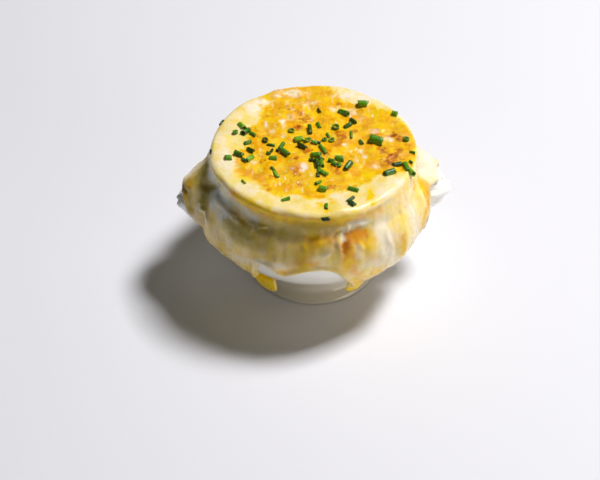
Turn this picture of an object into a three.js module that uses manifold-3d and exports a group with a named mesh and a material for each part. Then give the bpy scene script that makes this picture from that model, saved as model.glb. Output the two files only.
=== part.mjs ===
// French onion soup, gratineed in a footed porcelain bowl with a lion's head on each side.
// Millimetres, +Z up. The origin is the centre of the foot, on the surface that the bowl stands on,
// and the two lion's heads lie on the X axis. Angles turn from +X towards +Y, in degrees where they
// are named in a table. The bowl is one solid. The melted cheese seals it, so the crust, the filling
// under it and the sheet that ran down outside are one solid too, with the cut chives fused to it.
import * as THREE from "three";
import { mergeVertices } from "three/addons/utils/BufferGeometryUtils.js";
import Module from "manifold-3d";

const wasm = await Module();
wasm.setup();

const TAU = 2 * Math.PI;
const degrees = THREE.MathUtils.degToRad;
const clamp = THREE.MathUtils.clamp;
const smooth = THREE.MathUtils.smoothstep;

// ---------------------------------------------------------------- driving dimensions

// Bowl: radii and heights along its profile.
const RIM = { r: 56, z: 87, round: 2.2 };
const NECK = { r: 55.2, z: 79, bendZ: 83 };
const LEDGE = { r: 60, bendZ: 74.8 };
const SHOULDER = { centreR: 56.5, acrossR: 8, acrossZ: 17 };
const BELLY = { r: 64.5, z: 57, depth: 44 };
const WAIST = { joinR: 33, topR: 32.4, r: 32.2, z: 12, flareR: 34, flareZ: 6 };
const FOOT = { r: 38.4, topZ: 3, edgeZ: 1.2, topR: 37.7 };
const STAND = { outerR: 37.3, innerR: 32.5 };
const RECESS = { r: 31, depth: 3.4 };
const WALL = 4.6;
const FLOOR_Z = 18.5;
const INSIDE = { bendR: 1.2, bendDrop: 6, fromAngle: 0.28 };
const BOWL_SIDES = 48;
const SIDE_DIVISIONS = [2, 2, 3, 7];
const RIM_DIVISIONS = 3;
const INSIDE_DIVISIONS = 7;

// Lion's head: height of its centre, half sizes, how far its dome stands out, and its lean, inwards
// to the forehead and outwards to the muzzle. Its mane is a ring of locks at a share of the way out to its border.
const HEAD = { z: 60, halfWidth: 16.5, halfHeight: 18, out: 12, leanUp: 0.5, leanDown: 0.3 };
const DOME = { flat: 2.6, round: 0.55 };
const MANE = { locks: 13, at: 0.84, width: 0.16, out: 0.9, twist: 0.25 };
const HEAD_BORDER = 0.06;
const HEAD_RINGS = 8;
const HEAD_SECTORS = 28;
// Features of the face, alike on both sides of the nose.
const FACE = [
  { name: "brow", across: 4.2, up: 5.2, width: 3.4, out: 1.8 },
  { name: "eye socket", across: 4.4, up: 1.6, width: 2.1, out: -2.2 },
  { name: "eye", across: 4.4, up: 1.5, width: 1.0, out: 1.3 },
  { name: "bridge of the nose", across: 0, up: 3.5, width: 2.2, out: 1.5 },
  { name: "nose", across: 0, up: -2.6, width: 2.6, out: 2.6 },
  { name: "muzzle", across: 3.0, up: -5.6, width: 2.9, out: 2.8 },
  { name: "mouth", across: 0, up: -9.4, width: 1.7, out: -1.6 },
  { name: "chin", across: 0, up: -12, width: 2.6, out: 1.9 },
  { name: "cheek", across: 7.4, up: -3.6, width: 3.2, out: 0.8 },
  { name: "ear", across: 10.2, up: 10.2, width: 2.7, out: 2.4 },
];

// Melted cheese: the crust on top and the round lip where it turns over the rim.
const CRUST = { z: 89.2, flatR: 38, lipFromR: 53 };
const CRUST_RADII = [14, 26, 36, 44, 50.5];
const LIP = { centreR: 54.7, centreZ: 86.5, round: 3.6 };
const LIP_ANGLES = [22, 55, 88, 122];
const CHEESE_COLUMNS = 66;
// Low puffs in the crust.
const PUFFS = [
  { x: -8, y: -11, width: 13, up: 0.9 },
  { x: 17, y: 12, width: 12, up: 0.9 },
  { x: -22, y: 24, width: 14, up: 0.9 },
  { x: 38, y: -6, width: 11, up: 0.8 },
  { x: 6, y: 40, width: 12, up: 0.7 },
  { x: -31, y: -17, width: 11, up: 0.6 },
  { x: 14, y: -33, width: 12, up: 0.6 },
];
// Where the lip leans out.
const LEANS = [
  { at: -165, half: 40, out: 1.2 },
  { at: -75, half: 18, out: 0.5 },
  { at: -20, half: 22, out: -0.5 },
  { at: 70, half: 25, out: 0.5 },
];

// The sheet of cheese outside the bowl, and how deep its surface is buried in the wall beyond its edge.
const SHEET = { thick: 2.3, topZ: 82, endZ: 22, edgeZ: 31, taper: 5, edgeRound: 0.7 };
const SHEET_ROWS = 14;
const BURIED = { wall: 2, head: 3.4 };
const RIPPLES = [
  { round: 6, down: 0.12, out: 0.25 },
  { round: 11, down: -0.15, out: 0.2 },
];
const EDGE_RIPPLES = [
  { round: 7, phase: 0, up: 1.6 },
  { round: 13, phase: 50, up: 1.1 },
];
// The sheet hangs taut from the lip to the brow of each head, and lies over the head.
const TENT = { lipR: 57.6, lipZ: 85.5, across: 15, cover: 3.4, reach: 26, blend: 2 };
const TENTS = [
  { at: 0, browR: 71.6, browZ: 67, sag: 24 },
  { at: 180, browR: 75.3, browZ: 67.6, sag: 15 },
];
// Where the sheet spans the bowl's neck, hanging almost taut from the lip to the belly.
const SPAN = { topR: 58.2, topZ: 86.5, endR: 66.2, endZ: 62, sag: 0.8 };
const SPANS = [
  { at: -42, half: 36, share: 1 },
  { at: -95, half: 20, share: 0.5 },
  { at: -120, half: 22, share: 0.5 },
  { at: 58, half: 34, share: 0.8 },
  { at: 128, half: 24, share: 0.6 },
];
// Where the sheet's lower edge is pulled up to a height and bares the bowl.
const NOTCHES = [
  { at: 0, half: 13, z: 66 },
  { at: -12, half: 7, z: 67 },
  { at: -104, half: 21, z: 44 },
  { at: -93, half: 17, z: 56.5 },
  { at: -119.5, half: 9, z: 55 },
  { at: 180, half: 20, z: 61 },
  { at: 17, half: 9, z: 56 },
  { at: 44, half: 10, z: 47 },
  { at: 78, half: 13, z: 55 },
  { at: 112, half: 9, z: 45 },
  { at: 139, half: 11, z: 54 },
];
// Where the sheet ran further down.
const TONGUES = [
  { at: -141, half: 11.5, z: 26 },
  { at: -60, half: 13, z: 26 },
  { at: 62, half: 8, z: 27 },
  { at: 126, half: 9, z: 24 },
];
// Folds of the sheet, as lines from one angle and height to another.
const FOLDS = [
  { from: [-156, 80], to: [-157, 48], width: 5, out: 1.4 },
  { from: [-150, 75], to: [-127, 74.5], width: 4, out: 0.9 },
  { from: [-94, 69], to: [-78, 77.5], width: 4.5, out: 1.3 },
  { from: [-78, 77.5], to: [-66, 80], width: 4.5, out: 1 },
  { from: [-81, 62], to: [-73, 73], width: 5, out: 1.1 },
  { from: [-49, 70], to: [-46, 48], width: 5, out: 0.9 },
  { from: [-26, 76], to: [-23, 48], width: 5, out: 1.1 },
  { from: [-116, 58], to: [-100, 60], width: 5, out: 0.8 },
  { from: [30, 78], to: [34, 48], width: 5, out: 1.2 },
  { from: [60, 78], to: [66, 50], width: 5, out: 1.2 },
  { from: [86, 70], to: [106, 76], width: 4.5, out: 1.2 },
  { from: [122, 76], to: [118, 44], width: 5, out: 1.2 },
  { from: [152, 78], to: [149, 50], width: 5, out: 1.2 },
];
// Broad swellings of the sheet.
const SWELLS = [
  { at: -141, half: 12, z: 36, tall: 10, out: 1 },
  { at: -160, half: 16, z: 46, tall: 14, out: 0.9 },
  { at: -60, half: 20, z: 40, tall: 14, out: 0.8 },
  { at: 50, half: 26, z: 60, tall: 16, out: 0.9 },
  { at: 100, half: 22, z: 64, tall: 14, out: 0.8 },
];
// Drips that hang free below the sheet, as angle and height of the root and of the tip.
const DRIPS = [
  { from: [-129.5, 30], to: [-127, 17.5], width: 14 },
  { from: [-68, 35], to: [-71, 26.5], width: 10 },
  { from: [62, 35], to: [61, 21], width: 9 },
  { from: [126, 34], to: [127, 19], width: 8 },
];
const DRIP = { thick: 2.1, thinning: 0.6, inwards: 2, rings: 5, sectors: 8, lastRing: 0.96 };

// Gap between the food and the bowl.
const CLEARANCE = 0.3;

// Cut chives, sunk into the crust by a share of their thickness.
const CHIVE = { sunk: 0.25, sides: 5, thinSides: 4, thin: 2 };
// Those that lie: x, y, angle, length, thickness.
const LYING_CHIVES = [
  [-40, 20.5, -60, 5.5, 2.7],
  [-38, 15.5, 45, 5.8, 3.3],
  [-34, 13.5, -40, 4.2, 2.3],
  [-37.5, 6.5, 20, 4.4, 2.4],
  [-36, -0.5, -45, 4.7, 2.7],
  [-43, -4, -30, 5.9, 3.2],
  [-49, -7, 0, 4.2, 3.1],
  [-40, -8.5, -45, 3.6, 2.4],
  [-37, -8, 45, 5.4, 2.7],
  [-24.5, 3.5, -15, 4.8, 1.7],
  [-24.5, -2, 65, 3.3, 1.5],
  [-26.5, -4.5, -35, 2.5, 2],
  [-24, -8.5, -5, 4.2, 2.8],
  [-18.5, 2, 60, 5.8, 2.1],
  [-21, -2, -35, 2.2, 1.9],
  [-17, -4.5, -50, 6.2, 3.5],
  [-25, -18.5, -60, 3.2, 1.9],
  [-23.5, -22.5, -70, 5.1, 2.4],
  [-41.5, -28, -60, 3.6, 1.6],
  [5.5, 32, -75, 3.7, 2],
  [19.5, 28.5, -40, 6.8, 3.1],
  [24, 20.5, -60, 4.8, 2.8],
  [20.5, 16.5, 30, 5.2, 2.5],
  [4, 19, -75, 4.7, 2],
  [-1.5, 14, -90, 6.8, 2.6],
  [-8.5, 6.5, 5, 5.4, 3],
  [0, 2.5, -20, 3.7, 2],
  [2.5, 2.5, -5, 2.3, 1.9],
  [4, -1.5, -65, 4.6, 2.2],
  [5, -5, -70, 4.7, 2.4],
  [-7, 0, -45, 6, 3],
  [8.5, 9, -75, 3.7, 1.6],
  [21.5, 7.5, -95, 5.4, 1.6],
  [26.5, 1, -75, 3.8, 2],
  [0, -8.5, -10, 5.9, 3.2],
  [2.5, -12, -25, 3.4, 2.4],
  [-0.5, -16.5, -85, 6.1, 2.9],
  [2.5, -16, -90, 5.8, 2.7],
  [8, -14, -25, 3.6, 2.5],
  [9.5, -17, -35, 3.2, 2.4],
  [13, -12, -20, 4.8, 3.5],
  [12, -17.5, -95, 3.9, 2.3],
  [17, -19, 55, 6.2, 3.4],
  [0.5, -21.5, -90, 4.1, 2.1],
  [-0.5, -25, -90, 3.3, 1.8],
  [3, -24, -45, 5, 2.9],
  [-1, -31.5, 35, 4, 2],
  [1, -37.5, -20, 5, 3.2],
  [17.5, -39, -25, 6.4, 2.4],
  [15, -47, 35, 5.6, 2],
  [15.5, -51, -50, 4.1, 2.7],
  [1.5, -51.5, -95, 4.2, 1.9],
  [-19.5, -44, 15, 5, 2],
  [31.5, 35, -10, 6.1, 4],
  [48.5, 24, -25, 3.8, 2.8],
  [35, 1, -25, 8.1, 5],
  [54, -11, -30, 3.4, 1.5],
  [44, -20, 10, 5.4, 2.8],
  [39, -27, 20, 7.4, 3.4],
  [49, -22.5, -80, 7.9, 2.8],
  [51, -26.5, -65, 5.2, 3],
  [52, -19, -50, 2.5, 1.6],
  [0.5, -58.3, 0, 4.8, 2.6],
  [-58.1, 1.5, 90, 3.6, 2.4],
  [-51.2, 26, 60, 5, 1.6],
];
// Those that stand on a cut end: x, y, height, thickness.
const STANDING_CHIVES = [
  [-44, 15, 2.1, 3],
  [-27.5, 7.5, 1.5, 3.6],
  [-12, 14.5, 1.5, 3.6],
  [13.5, 15.5, 1.8, 4.2],
  [-3.5, 5, 1.5, 3.8],
  [6, 5, 1.5, 3],
  [10, 4.5, 1.5, 3.6],
  [-3, -13, 1.5, 2.7],
  [52, 0.5, 2.1, 3.4],
];

// ---------------------------------------------------------------- small helpers

const mix = (a, b, share) => a + (b - a) * share;
const bump = (distance, width) => Math.exp(-((distance / width) ** 2));

// A bump with a flat top and steep sides.
const plateau = (distance, width) => Math.exp(-(Math.abs(distance / width) ** 3));

// Smallest turn from one angle to the other, in degrees, from -180 to 180.
const turn = (a, b) => ((((a - b) % 360) + 540) % 360) - 180;

// The larger of two lengths, rounded where they meet.
function roundedMax(a, b, blend) {
  const share = clamp(0.5 + (0.5 * (b - a)) / blend, 0, 1);
  return mix(a, b, share) + blend * share * (1 - share);
}

// A closed mesh's geometry as a solid, and a solid as a geometry.
function solidOf(geometry) {
  const bare = geometry.clone();
  bare.deleteAttribute("normal");
  bare.deleteAttribute("uv");
  const merged = mergeVertices(bare, 1e-4);
  return new wasm.Manifold(
    new wasm.Mesh({
      numProp: 3,
      vertProperties: new Float32Array(merged.attributes.position.array),
      triVerts: new Uint32Array(merged.index.array),
    }),
  );
}

function geometryOf(solid) {
  const { vertProperties, triVerts } = solid.getMesh();
  const geometry = new THREE.BufferGeometry();
  geometry.setAttribute("position", new THREE.BufferAttribute(vertProperties.slice(), 3));
  geometry.setIndex(new THREE.BufferAttribute(triVerts.slice(), 1));
  geometry.computeVertexNormals();
  return geometry;
}

const join = (whole, piece) => whole.add(piece);
const larger = (a, b) => (b.volume() > a.volume() ? b : a);
const largestBody = (solid) => solid.decompose().reduce(larger);

// A closed surface of rings round an axis, with a point before the first ring and after the last.
// rings[i][j] is ring i at sector j, and the sectors turn so that the faces point away from the axis.
function ringSolid(first, rings, last) {
  const sectors = rings[0].length;
  const points = [first, ...rings.flat(), last];
  const at = (i, j) => 1 + i * sectors + (j % sectors);
  const index = [];
  for (let j = 0; j < sectors; j++) {
    index.push(0, at(0, j), at(0, j + 1));
    for (let i = 0; i + 1 < rings.length; i++) {
      index.push(at(i, j), at(i + 1, j), at(i + 1, j + 1));
      index.push(at(i, j), at(i + 1, j + 1), at(i, j + 1));
    }
    index.push(points.length - 1, at(rings.length - 1, j + 1), at(rings.length - 1, j));
  }
  const geometry = new THREE.BufferGeometry().setFromPoints(points);
  geometry.setIndex(index);
  return solidOf(geometry);
}

// ---------------------------------------------------------------- bowl

const v2 = (x, y) => new THREE.Vector2(x, y);
const bend = (a, b, c) => new THREE.QuadraticBezierCurve(a, b, c);
const arc = (x, y, rx, ry, from, to) => new THREE.EllipseCurve(x, y, rx, ry, from, to, to < from);

// The bowl's outer side from the rim down to the foot's join, as one curve of (radius, height).
function outerSide() {
  const { centreR, acrossR, acrossZ } = SHOULDER;
  const ledgeAngle = Math.acos((LEDGE.r - centreR) / acrossR);
  const ledgeZ = BELLY.z + acrossZ * Math.sin(ledgeAngle);
  const joinAngle = -Math.acos(WAIST.joinR / BELLY.r);
  const neck = v2(NECK.r, NECK.z);
  const side = new THREE.CurvePath();
  side.add(bend(v2(RIM.r, RIM.z - RIM.round), v2(NECK.r, NECK.bendZ), neck));
  side.add(bend(neck, v2(NECK.r, LEDGE.bendZ), v2(LEDGE.r, ledgeZ)));
  side.add(arc(centreR, BELLY.z, acrossR, acrossZ, ledgeAngle, 0));
  side.add(arc(0, BELLY.z, BELLY.r, BELLY.depth, 0, joinAngle));
  return side;
}

const SIDE = outerSide();

// A point of a curve that runs down the side, moved out along the curve's normal.
const movedOut = (point, along, out) => v2(point.x - along.y * out, point.y + along.x * out);

const sidePoint = (share, out = 0) =>
  movedOut(SIDE.getPointAt(share), SIDE.getTangentAt(share), out);

// Share of the outer side's length at which it is down at a height.
function shareAtHeight(z) {
  const halvings = 24;
  let low = 0;
  let high = 1;
  for (let i = 0; i < halvings; i++) {
    const middle = (low + high) / 2;
    if (SIDE.getPointAt(middle).y > z) low = middle;
    else high = middle;
  }
  return low;
}

// Full closed profile of the bowl, from the axis under the foot to the axis inside.
// spare grows the bowl on every side, which makes the cutter that clears the food from it.
function bowlProfile(spare = 0) {
  const foot = [
    v2(0, RECESS.depth - spare),
    v2(RECESS.r - spare, RECESS.depth - spare),
    v2(STAND.innerR - spare, -spare),
    v2(STAND.outerR + spare, -spare),
    v2(FOOT.r + spare, FOOT.edgeZ),
    v2(FOOT.topR + spare, FOOT.topZ),
    v2(WAIST.flareR + spare, WAIST.flareZ),
    v2(WAIST.r + spare, WAIST.z),
    v2(WAIST.topR + spare, SIDE.getPointAt(1).y - 2),
  ];
  const side = SIDE.curves.flatMap((curve, i) =>
    Array.from({ length: SIDE_DIVISIONS[i] }, (_, k) => {
      const t = k / SIDE_DIVISIONS[i];
      return movedOut(curve.getPoint(t), curve.getTangent(t), spare);
    }),
  );
  const round = RIM.round + spare;
  const rim = arc(RIM.r - RIM.round, RIM.z - RIM.round, round, round, 0, Math.PI);
  const neckR = NECK.r - WALL - spare;
  const bellyR = BELLY.r - WALL - spare;
  const bellyDepth = BELLY.z - FLOOR_Z - spare;
  const inside = arc(0, BELLY.z, bellyR, bellyDepth, INSIDE.fromAngle, -TAU / 4);
  const closing = inside.getPoints(INSIDE_DIVISIONS);
  closing[INSIDE_DIVISIONS].x = 0;
  return [
    ...foot,
    ...side.reverse(),
    ...rim.getPoints(RIM_DIVISIONS).slice(1),
    v2(neckR, NECK.z),
    v2(neckR + INSIDE.bendR, NECK.z - INSIDE.bendDrop),
    ...closing,
  ];
}

function turned(profile) {
  return solidOf(new THREE.LatheGeometry(profile, BOWL_SIDES).rotateX(TAU / 4));
}

// ---------------------------------------------------------------- lion's head

// How far the head's plain round form stands out, at a place as shares of its half width and height.
function headDome(across, up) {
  const ring = Math.hypot(across, up);
  if (ring >= 1) return 0;
  const lean = up > 0 ? HEAD.leanUp : HEAD.leanDown;
  return HEAD.out * (1 - ring ** DOME.flat) ** DOME.round * (1 - lean * up);
}

// How far the head stands out at a point across and up from its centre.
function headRelief(across, up) {
  const side = across / HEAD.halfWidth;
  const rise = up / HEAD.halfHeight;
  const ring = Math.hypot(side, rise);
  if (ring >= 1) return 0;
  const locks = Math.cos(MANE.locks * (Math.atan2(up, across) + MANE.twist * ring));
  let out = headDome(side, rise) + MANE.out * locks * bump(ring - MANE.at, MANE.width);
  for (const part of FACE) {
    out += part.out * bump(Math.hypot(Math.abs(across) - part.across, up - part.up), part.width);
  }
  return out * smooth(1 - ring, 0, HEAD_BORDER);
}

// Radius, midway in the bowl's wall, at a height.
function wallRadius(z) {
  return sidePoint(shareAtHeight(z), -WALL / 2).x;
}

// One head as a closed solid, grown by spare, facing +X (facing = 1) or -X (facing = -1).
function headSolid(facing, spare = 0) {
  const grown = 1 + spare / HEAD.halfWidth;
  const surface = (across, up) => {
    const relief = headRelief(across / grown, up / grown);
    const wall = Math.sqrt(wallRadius(HEAD.z + up) ** 2 - across ** 2);
    const out = wall + relief + (relief > 0 ? spare : 0);
    return new THREE.Vector3(facing * out, facing * across, HEAD.z + up);
  };
  const rings = Array.from({ length: HEAD_RINGS }, (_, i) => {
    const ring = (grown * (i + 1)) / HEAD_RINGS;
    return Array.from({ length: HEAD_SECTORS }, (_, j) => {
      const a = (j / HEAD_SECTORS) * TAU;
      return surface(ring * HEAD.halfWidth * Math.cos(a), ring * HEAD.halfHeight * Math.sin(a));
    });
  });
  const back = new THREE.Vector3(facing * (BELLY.r - WALL / 2 - spare), 0, HEAD.z);
  return ringSolid(surface(0, 0), rings, back);
}

// Radius of a plain dome over the head, grown by thick, at an angle from it and a height; 0 beside it.
function headRadius(angle, z, thick) {
  const rounds = 4;
  const up = (z - HEAD.z) / (HEAD.halfHeight + thick);
  const wall = wallRadius(z);
  let radius = wall;
  for (let i = 0; i < rounds; i++) {
    const across = radius * Math.sin(angle);
    const side = across / (HEAD.halfWidth + thick);
    if (Math.hypot(side, up) >= 1) return 0;
    const out = Math.sqrt(wall ** 2 - across ** 2) + headDome(side, up) + thick;
    radius = mix(radius, out / Math.cos(angle), 0.5);
  }
  return radius;
}

// ---------------------------------------------------------------- melted cheese

// Height of the crust's top at a place in plan.
function crustHeight(x, y) {
  const up = (puff) => puff.up * bump(Math.hypot(x - puff.x, y - puff.y), puff.width);
  const z = PUFFS.reduce((sum, puff) => sum + up(puff), CRUST.z);
  return mix(z, LIP.centreZ + LIP.round, smooth(Math.hypot(x, y), CRUST.flatR, CRUST.lipFromR));
}

// Height of the top at a place, with the lip's rounding down past its middle.
function topHeight(x, y) {
  const past = clamp(Math.hypot(x, y) - LIP.centreR, 0, LIP.round);
  return crustHeight(x, y) - LIP.round + Math.sqrt(LIP.round ** 2 - past ** 2);
}

// How far the lip leans out, at an angle.
function lipLean(angle) {
  return LEANS.reduce((sum, lean) => sum + lean.out * bump(turn(angle, lean.at), lean.half), 0);
}

// Height down to which the sheet runs, at an angle.
function edgeHeight(angle) {
  let z = SHEET.edgeZ;
  for (const { round, phase, up } of EDGE_RIPPLES) {
    z += up * Math.sin(degrees(round * angle + phase));
  }
  for (const notch of NOTCHES) {
    z += Math.max(0, notch.z - z) * plateau(turn(angle, notch.at), notch.half);
  }
  for (const tongue of TONGUES) {
    z += Math.min(0, tongue.z - z) * bump(turn(angle, tongue.at), tongue.half);
  }
  return z;
}

// Distance on the sheet from a place to a fold's line, with angles laid out at the belly's radius.
function distanceToFold(angle, z, { from, to }) {
  const perDegree = degrees(1) * BELLY.r;
  const line = v2(turn(to[0], from[0]) * perDegree, to[1] - from[1]);
  const place = v2(turn(angle, from[0]) * perDegree, z - from[1]);
  const share = clamp(place.dot(line) / line.lengthSq(), 0, 1);
  return place.sub(line.multiplyScalar(share)).length();
}

// Thickness of the sheet away from its edge, at an angle and a height.
function sheetThickness(angle, z) {
  let thick = SHEET.thick;
  for (const { round, down, out } of RIPPLES) {
    thick += out * Math.sin(degrees(round * angle) + down * z);
  }
  for (const fold of FOLDS) {
    thick += fold.out * bump(distanceToFold(angle, z, fold), fold.width);
  }
  for (const swell of SWELLS) {
    const off = Math.hypot(turn(angle, swell.at) / swell.half, (z - swell.z) / swell.tall);
    thick += swell.out * bump(off, 1);
  }
  return thick;
}

// Radius of the sheet where it hangs over a lion's head or lies on it, at an angle from the head.
function coverRadius(angle, z, thick, { browR, browZ, sag }) {
  const head = headRadius(degrees(angle), z, thick);
  if (z < browZ) return head;
  const down = clamp((TENT.lipZ - z) / (TENT.lipZ - browZ), 0, 1);
  const reach = mix(TENT.lipR, browR, down);
  const across = reach * Math.sin(degrees(angle));
  const tent = reach - sag * down * (across / TENT.across) ** 2;
  return roundedMax(tent, Math.min(head, reach), TENT.blend);
}

// How far cheese at a radius hangs out from the neck that it spans, at an angle and a height.
function spanOut(radius, angle, z) {
  if (z < SPAN.endZ || z > SPAN.topZ) return 0;
  const down = (SPAN.topZ - z) / (SPAN.topZ - SPAN.endZ);
  const hung = mix(SPAN.topR, SPAN.endR, down) - 4 * SPAN.sag * down * (1 - down);
  const share = SPANS.reduce(
    (sum, span) => sum + span.share * plateau(turn(angle, span.at), span.half),
    0,
  );
  return Math.max(0, hung - radius) * Math.min(1, share);
}

// Outer surface of the cheese on the side. Beyond the sheet's edge it lies inside the bowl's wall.
function sheetPoint(angle, share) {
  const z = SIDE.getPointAt(share).y;
  const inFromEdge = clamp((z - edgeHeight(angle)) / SHEET.taper, -1, 1);
  const full = Math.max(inFromEdge, 0) ** SHEET.edgeRound;
  const buried = Math.min(inFromEdge, 0);
  const point = sidePoint(share, sheetThickness(angle, z) * full + BURIED.wall * buried);
  point.x += full * spanOut(point.x, angle, point.y);
  const tent = TENTS.find(({ at }) => Math.abs(turn(angle, at)) < TENT.reach);
  if (!tent) return point;
  const thick = TENT.cover * full + BURIED.head * buried;
  const cover = coverRadius(turn(angle, tent.at), point.y, thick, tent);
  return v2(roundedMax(point.x, cover, TENT.blend), point.y);
}

// Points of the cheese's outer surface at one angle: out over the crust, round the lip, down the sheet.
function cheeseColumn(angle) {
  const a = degrees(angle);
  const top = CRUST_RADII.map((r) => v2(r, crustHeight(r * Math.cos(a), r * Math.sin(a))));
  const lip = LIP_ANGLES.map(degrees).map((round) => {
    const r = LIP.centreR + lipLean(angle) + LIP.round * Math.sin(round);
    const z = LIP.centreZ + LIP.round * Math.cos(round);
    return v2(r + spanOut(r, angle, z), z);
  });
  const from = shareAtHeight(SHEET.topZ);
  const to = shareAtHeight(SHEET.endZ);
  const sheet = Array.from({ length: SHEET_ROWS }, (_, i) =>
    sheetPoint(angle, mix(from, to, i / (SHEET_ROWS - 1))),
  );
  return [...top, ...lip, ...sheet].map(
    ({ x, y }) => new THREE.Vector3(x * Math.cos(a), x * Math.sin(a), y),
  );
}

// All that the cheese and the filling could hold, before the bowl is cut out of it.
function cheeseEnvelope() {
  const columns = Array.from({ length: CHEESE_COLUMNS }, (_, j) =>
    cheeseColumn((j / CHEESE_COLUMNS) * 360 - 180),
  );
  const rings = columns[0].map((_, i) => columns.map((column) => column[i]));
  const middle = new THREE.Vector3(0, 0, crustHeight(0, 0));
  const inFloor = new THREE.Vector3(0, 0, (FLOOR_Z + RECESS.depth) / 2);
  return ringSolid(middle, rings, inFloor);
}

// A drip that hangs from the sheet: flat where it leaves the bowl, round at its tip.
function hangingDrip({ from, to, width }) {
  const rootR = sidePoint(shareAtHeight(from[1]), SHEET.thick / 2).x;
  const point = (down, across, out) => {
    const a = degrees(mix(from[0], to[0], down));
    const r = rootR + out - DRIP.inwards * down ** 2;
    const x = r * Math.cos(a) - across * Math.sin(a);
    const y = r * Math.sin(a) + across * Math.cos(a);
    return new THREE.Vector3(x, y, mix(from[1], to[1], down));
  };
  const rings = Array.from({ length: DRIP.rings }, (_, i) => {
    const down = (DRIP.lastRing * i) / (DRIP.rings - 1);
    const half = (width / 2) * Math.sqrt(1 - down ** 3);
    const thick = DRIP.thick - DRIP.thinning * down;
    return Array.from({ length: DRIP.sectors }, (_, j) => {
      const round = (j / DRIP.sectors) * TAU;
      return point(down, half * Math.sin(round), thick * Math.cos(round));
    });
  });
  return ringSolid(point(-0.1, 0, -1), rings, point(1, 0, 0));
}

// ---------------------------------------------------------------- chives

// One cut chive on the crust, along X before it is turned to its angle, or along Z if it stands.
function chive(x, y, angle, length, thick, standing) {
  const sides = thick < CHIVE.thin ? CHIVE.thinSides : CHIVE.sides;
  const piece = new THREE.CylinderGeometry(thick / 2, thick / 2, length, sides);
  if (standing) piece.rotateX(TAU / 4);
  else piece.rotateZ(TAU / 4 + degrees(angle));
  const lift = (standing ? length : thick) * (0.5 - CHIVE.sunk / 2);
  piece.translate(x, y, topHeight(x, y) + lift);
  return solidOf(piece);
}

function chives() {
  const lying = LYING_CHIVES.map((row) => chive(...row, false));
  const standing = STANDING_CHIVES.map(([x, y, tall, thick]) => chive(x, y, 0, tall, thick, true));
  return [...lying, ...standing];
}

// ---------------------------------------------------------------- the object

// The bowl, grown by spare on every side.
function bowl(spare = 0) {
  return turned(bowlProfile(spare)).add(headSolid(1, spare)).add(headSolid(-1, spare));
}

function gratin() {
  const cheese = DRIPS.map(hangingDrip).reduce(join, cheeseEnvelope());
  const food = largestBody(cheese.subtract(bowl(CLEARANCE)));
  return largestBody(chives().reduce(join, food));
}

function mesh(name, solid, color, roughness) {
  const material = new THREE.MeshStandardMaterial({ color, roughness, metalness: 0 });
  const made = new THREE.Mesh(geometryOf(solid), material);
  made.name = name;
  return made;
}

const soup = new THREE.Group();
soup.add(mesh("bowl", bowl(), 0xf4f3f1, 0.15));
soup.add(mesh("gratin", gratin(), 0xf3c869, 0.4));

export default soup;
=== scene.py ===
# Gratineed onion soup in a white bowl with a lion's head on each side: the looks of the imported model.
# The forms follow the model's sizes at a finer pitch. Sizes are millimetres until a mesh is made, and angles
# are degrees from +X, where one head is, towards +Y. The viewer stands on the -Y side.
import functools
from math import acos, ceil, cos, hypot, pi, radians, sin, sqrt, tau
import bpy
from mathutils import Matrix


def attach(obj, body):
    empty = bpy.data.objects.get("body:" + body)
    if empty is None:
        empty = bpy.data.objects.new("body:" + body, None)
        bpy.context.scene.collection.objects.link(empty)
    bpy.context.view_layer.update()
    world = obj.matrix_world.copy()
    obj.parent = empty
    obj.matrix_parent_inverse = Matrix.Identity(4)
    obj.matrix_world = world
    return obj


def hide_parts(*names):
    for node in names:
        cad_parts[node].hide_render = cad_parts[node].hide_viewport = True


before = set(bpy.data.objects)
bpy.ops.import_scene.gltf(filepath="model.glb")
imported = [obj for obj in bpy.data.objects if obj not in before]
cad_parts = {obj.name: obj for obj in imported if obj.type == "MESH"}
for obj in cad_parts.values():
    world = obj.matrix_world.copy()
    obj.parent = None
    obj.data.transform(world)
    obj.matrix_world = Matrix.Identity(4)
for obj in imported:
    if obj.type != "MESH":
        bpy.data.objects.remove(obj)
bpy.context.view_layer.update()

from types import SimpleNamespace as Sizes

import bpy
import numpy as np
from mathutils import Matrix, Vector

MM = 0.001

# ---- sizes of the model

RIM = Sizes(r=56, z=87, round=2.2)
NECK = Sizes(r=55.2, z=79, bend_z=83)
LEDGE = Sizes(r=60, bend_z=74.8)
SHOULDER = Sizes(r=56.5, across=8, tall=17)
BELLY = Sizes(r=64.5, z=57, depth=44)
WAIST = Sizes(join_r=33, r=32.2, z=12, round=1.6)
FLARE = Sizes(r=34, z=6)
FOOT = Sizes(r=38.4, top_r=37.7, top_z=3, edge_z=1.2)
STAND = Sizes(outer_r=37.3, inner_r=32.5)
RECESS = Sizes(r=31, depth=3.4)
WALL = 4.6
FLOOR_Z = 18.5
INSIDE = Sizes(bend_r=1.2, bend_drop=6, start=0.28, round=3, rows=44)

HEAD = Sizes(z=60, half_width=16.5, half_height=18, out=12, lean_up=0.5, lean_down=0.3,
             flat=2.6, round=0.55, border=0.06)
MANE = Sizes(locks=13, at=0.84, width=0.16, out=0.9, twist=0.25)
HAIR = Sizes(strands=41, start=0.52, blend=0.2, out=0.2, twist=0.9)
# Heights above a head's centre between which its relief sinks in by half a wall.
FOREHEAD = (-3, 5)
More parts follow.
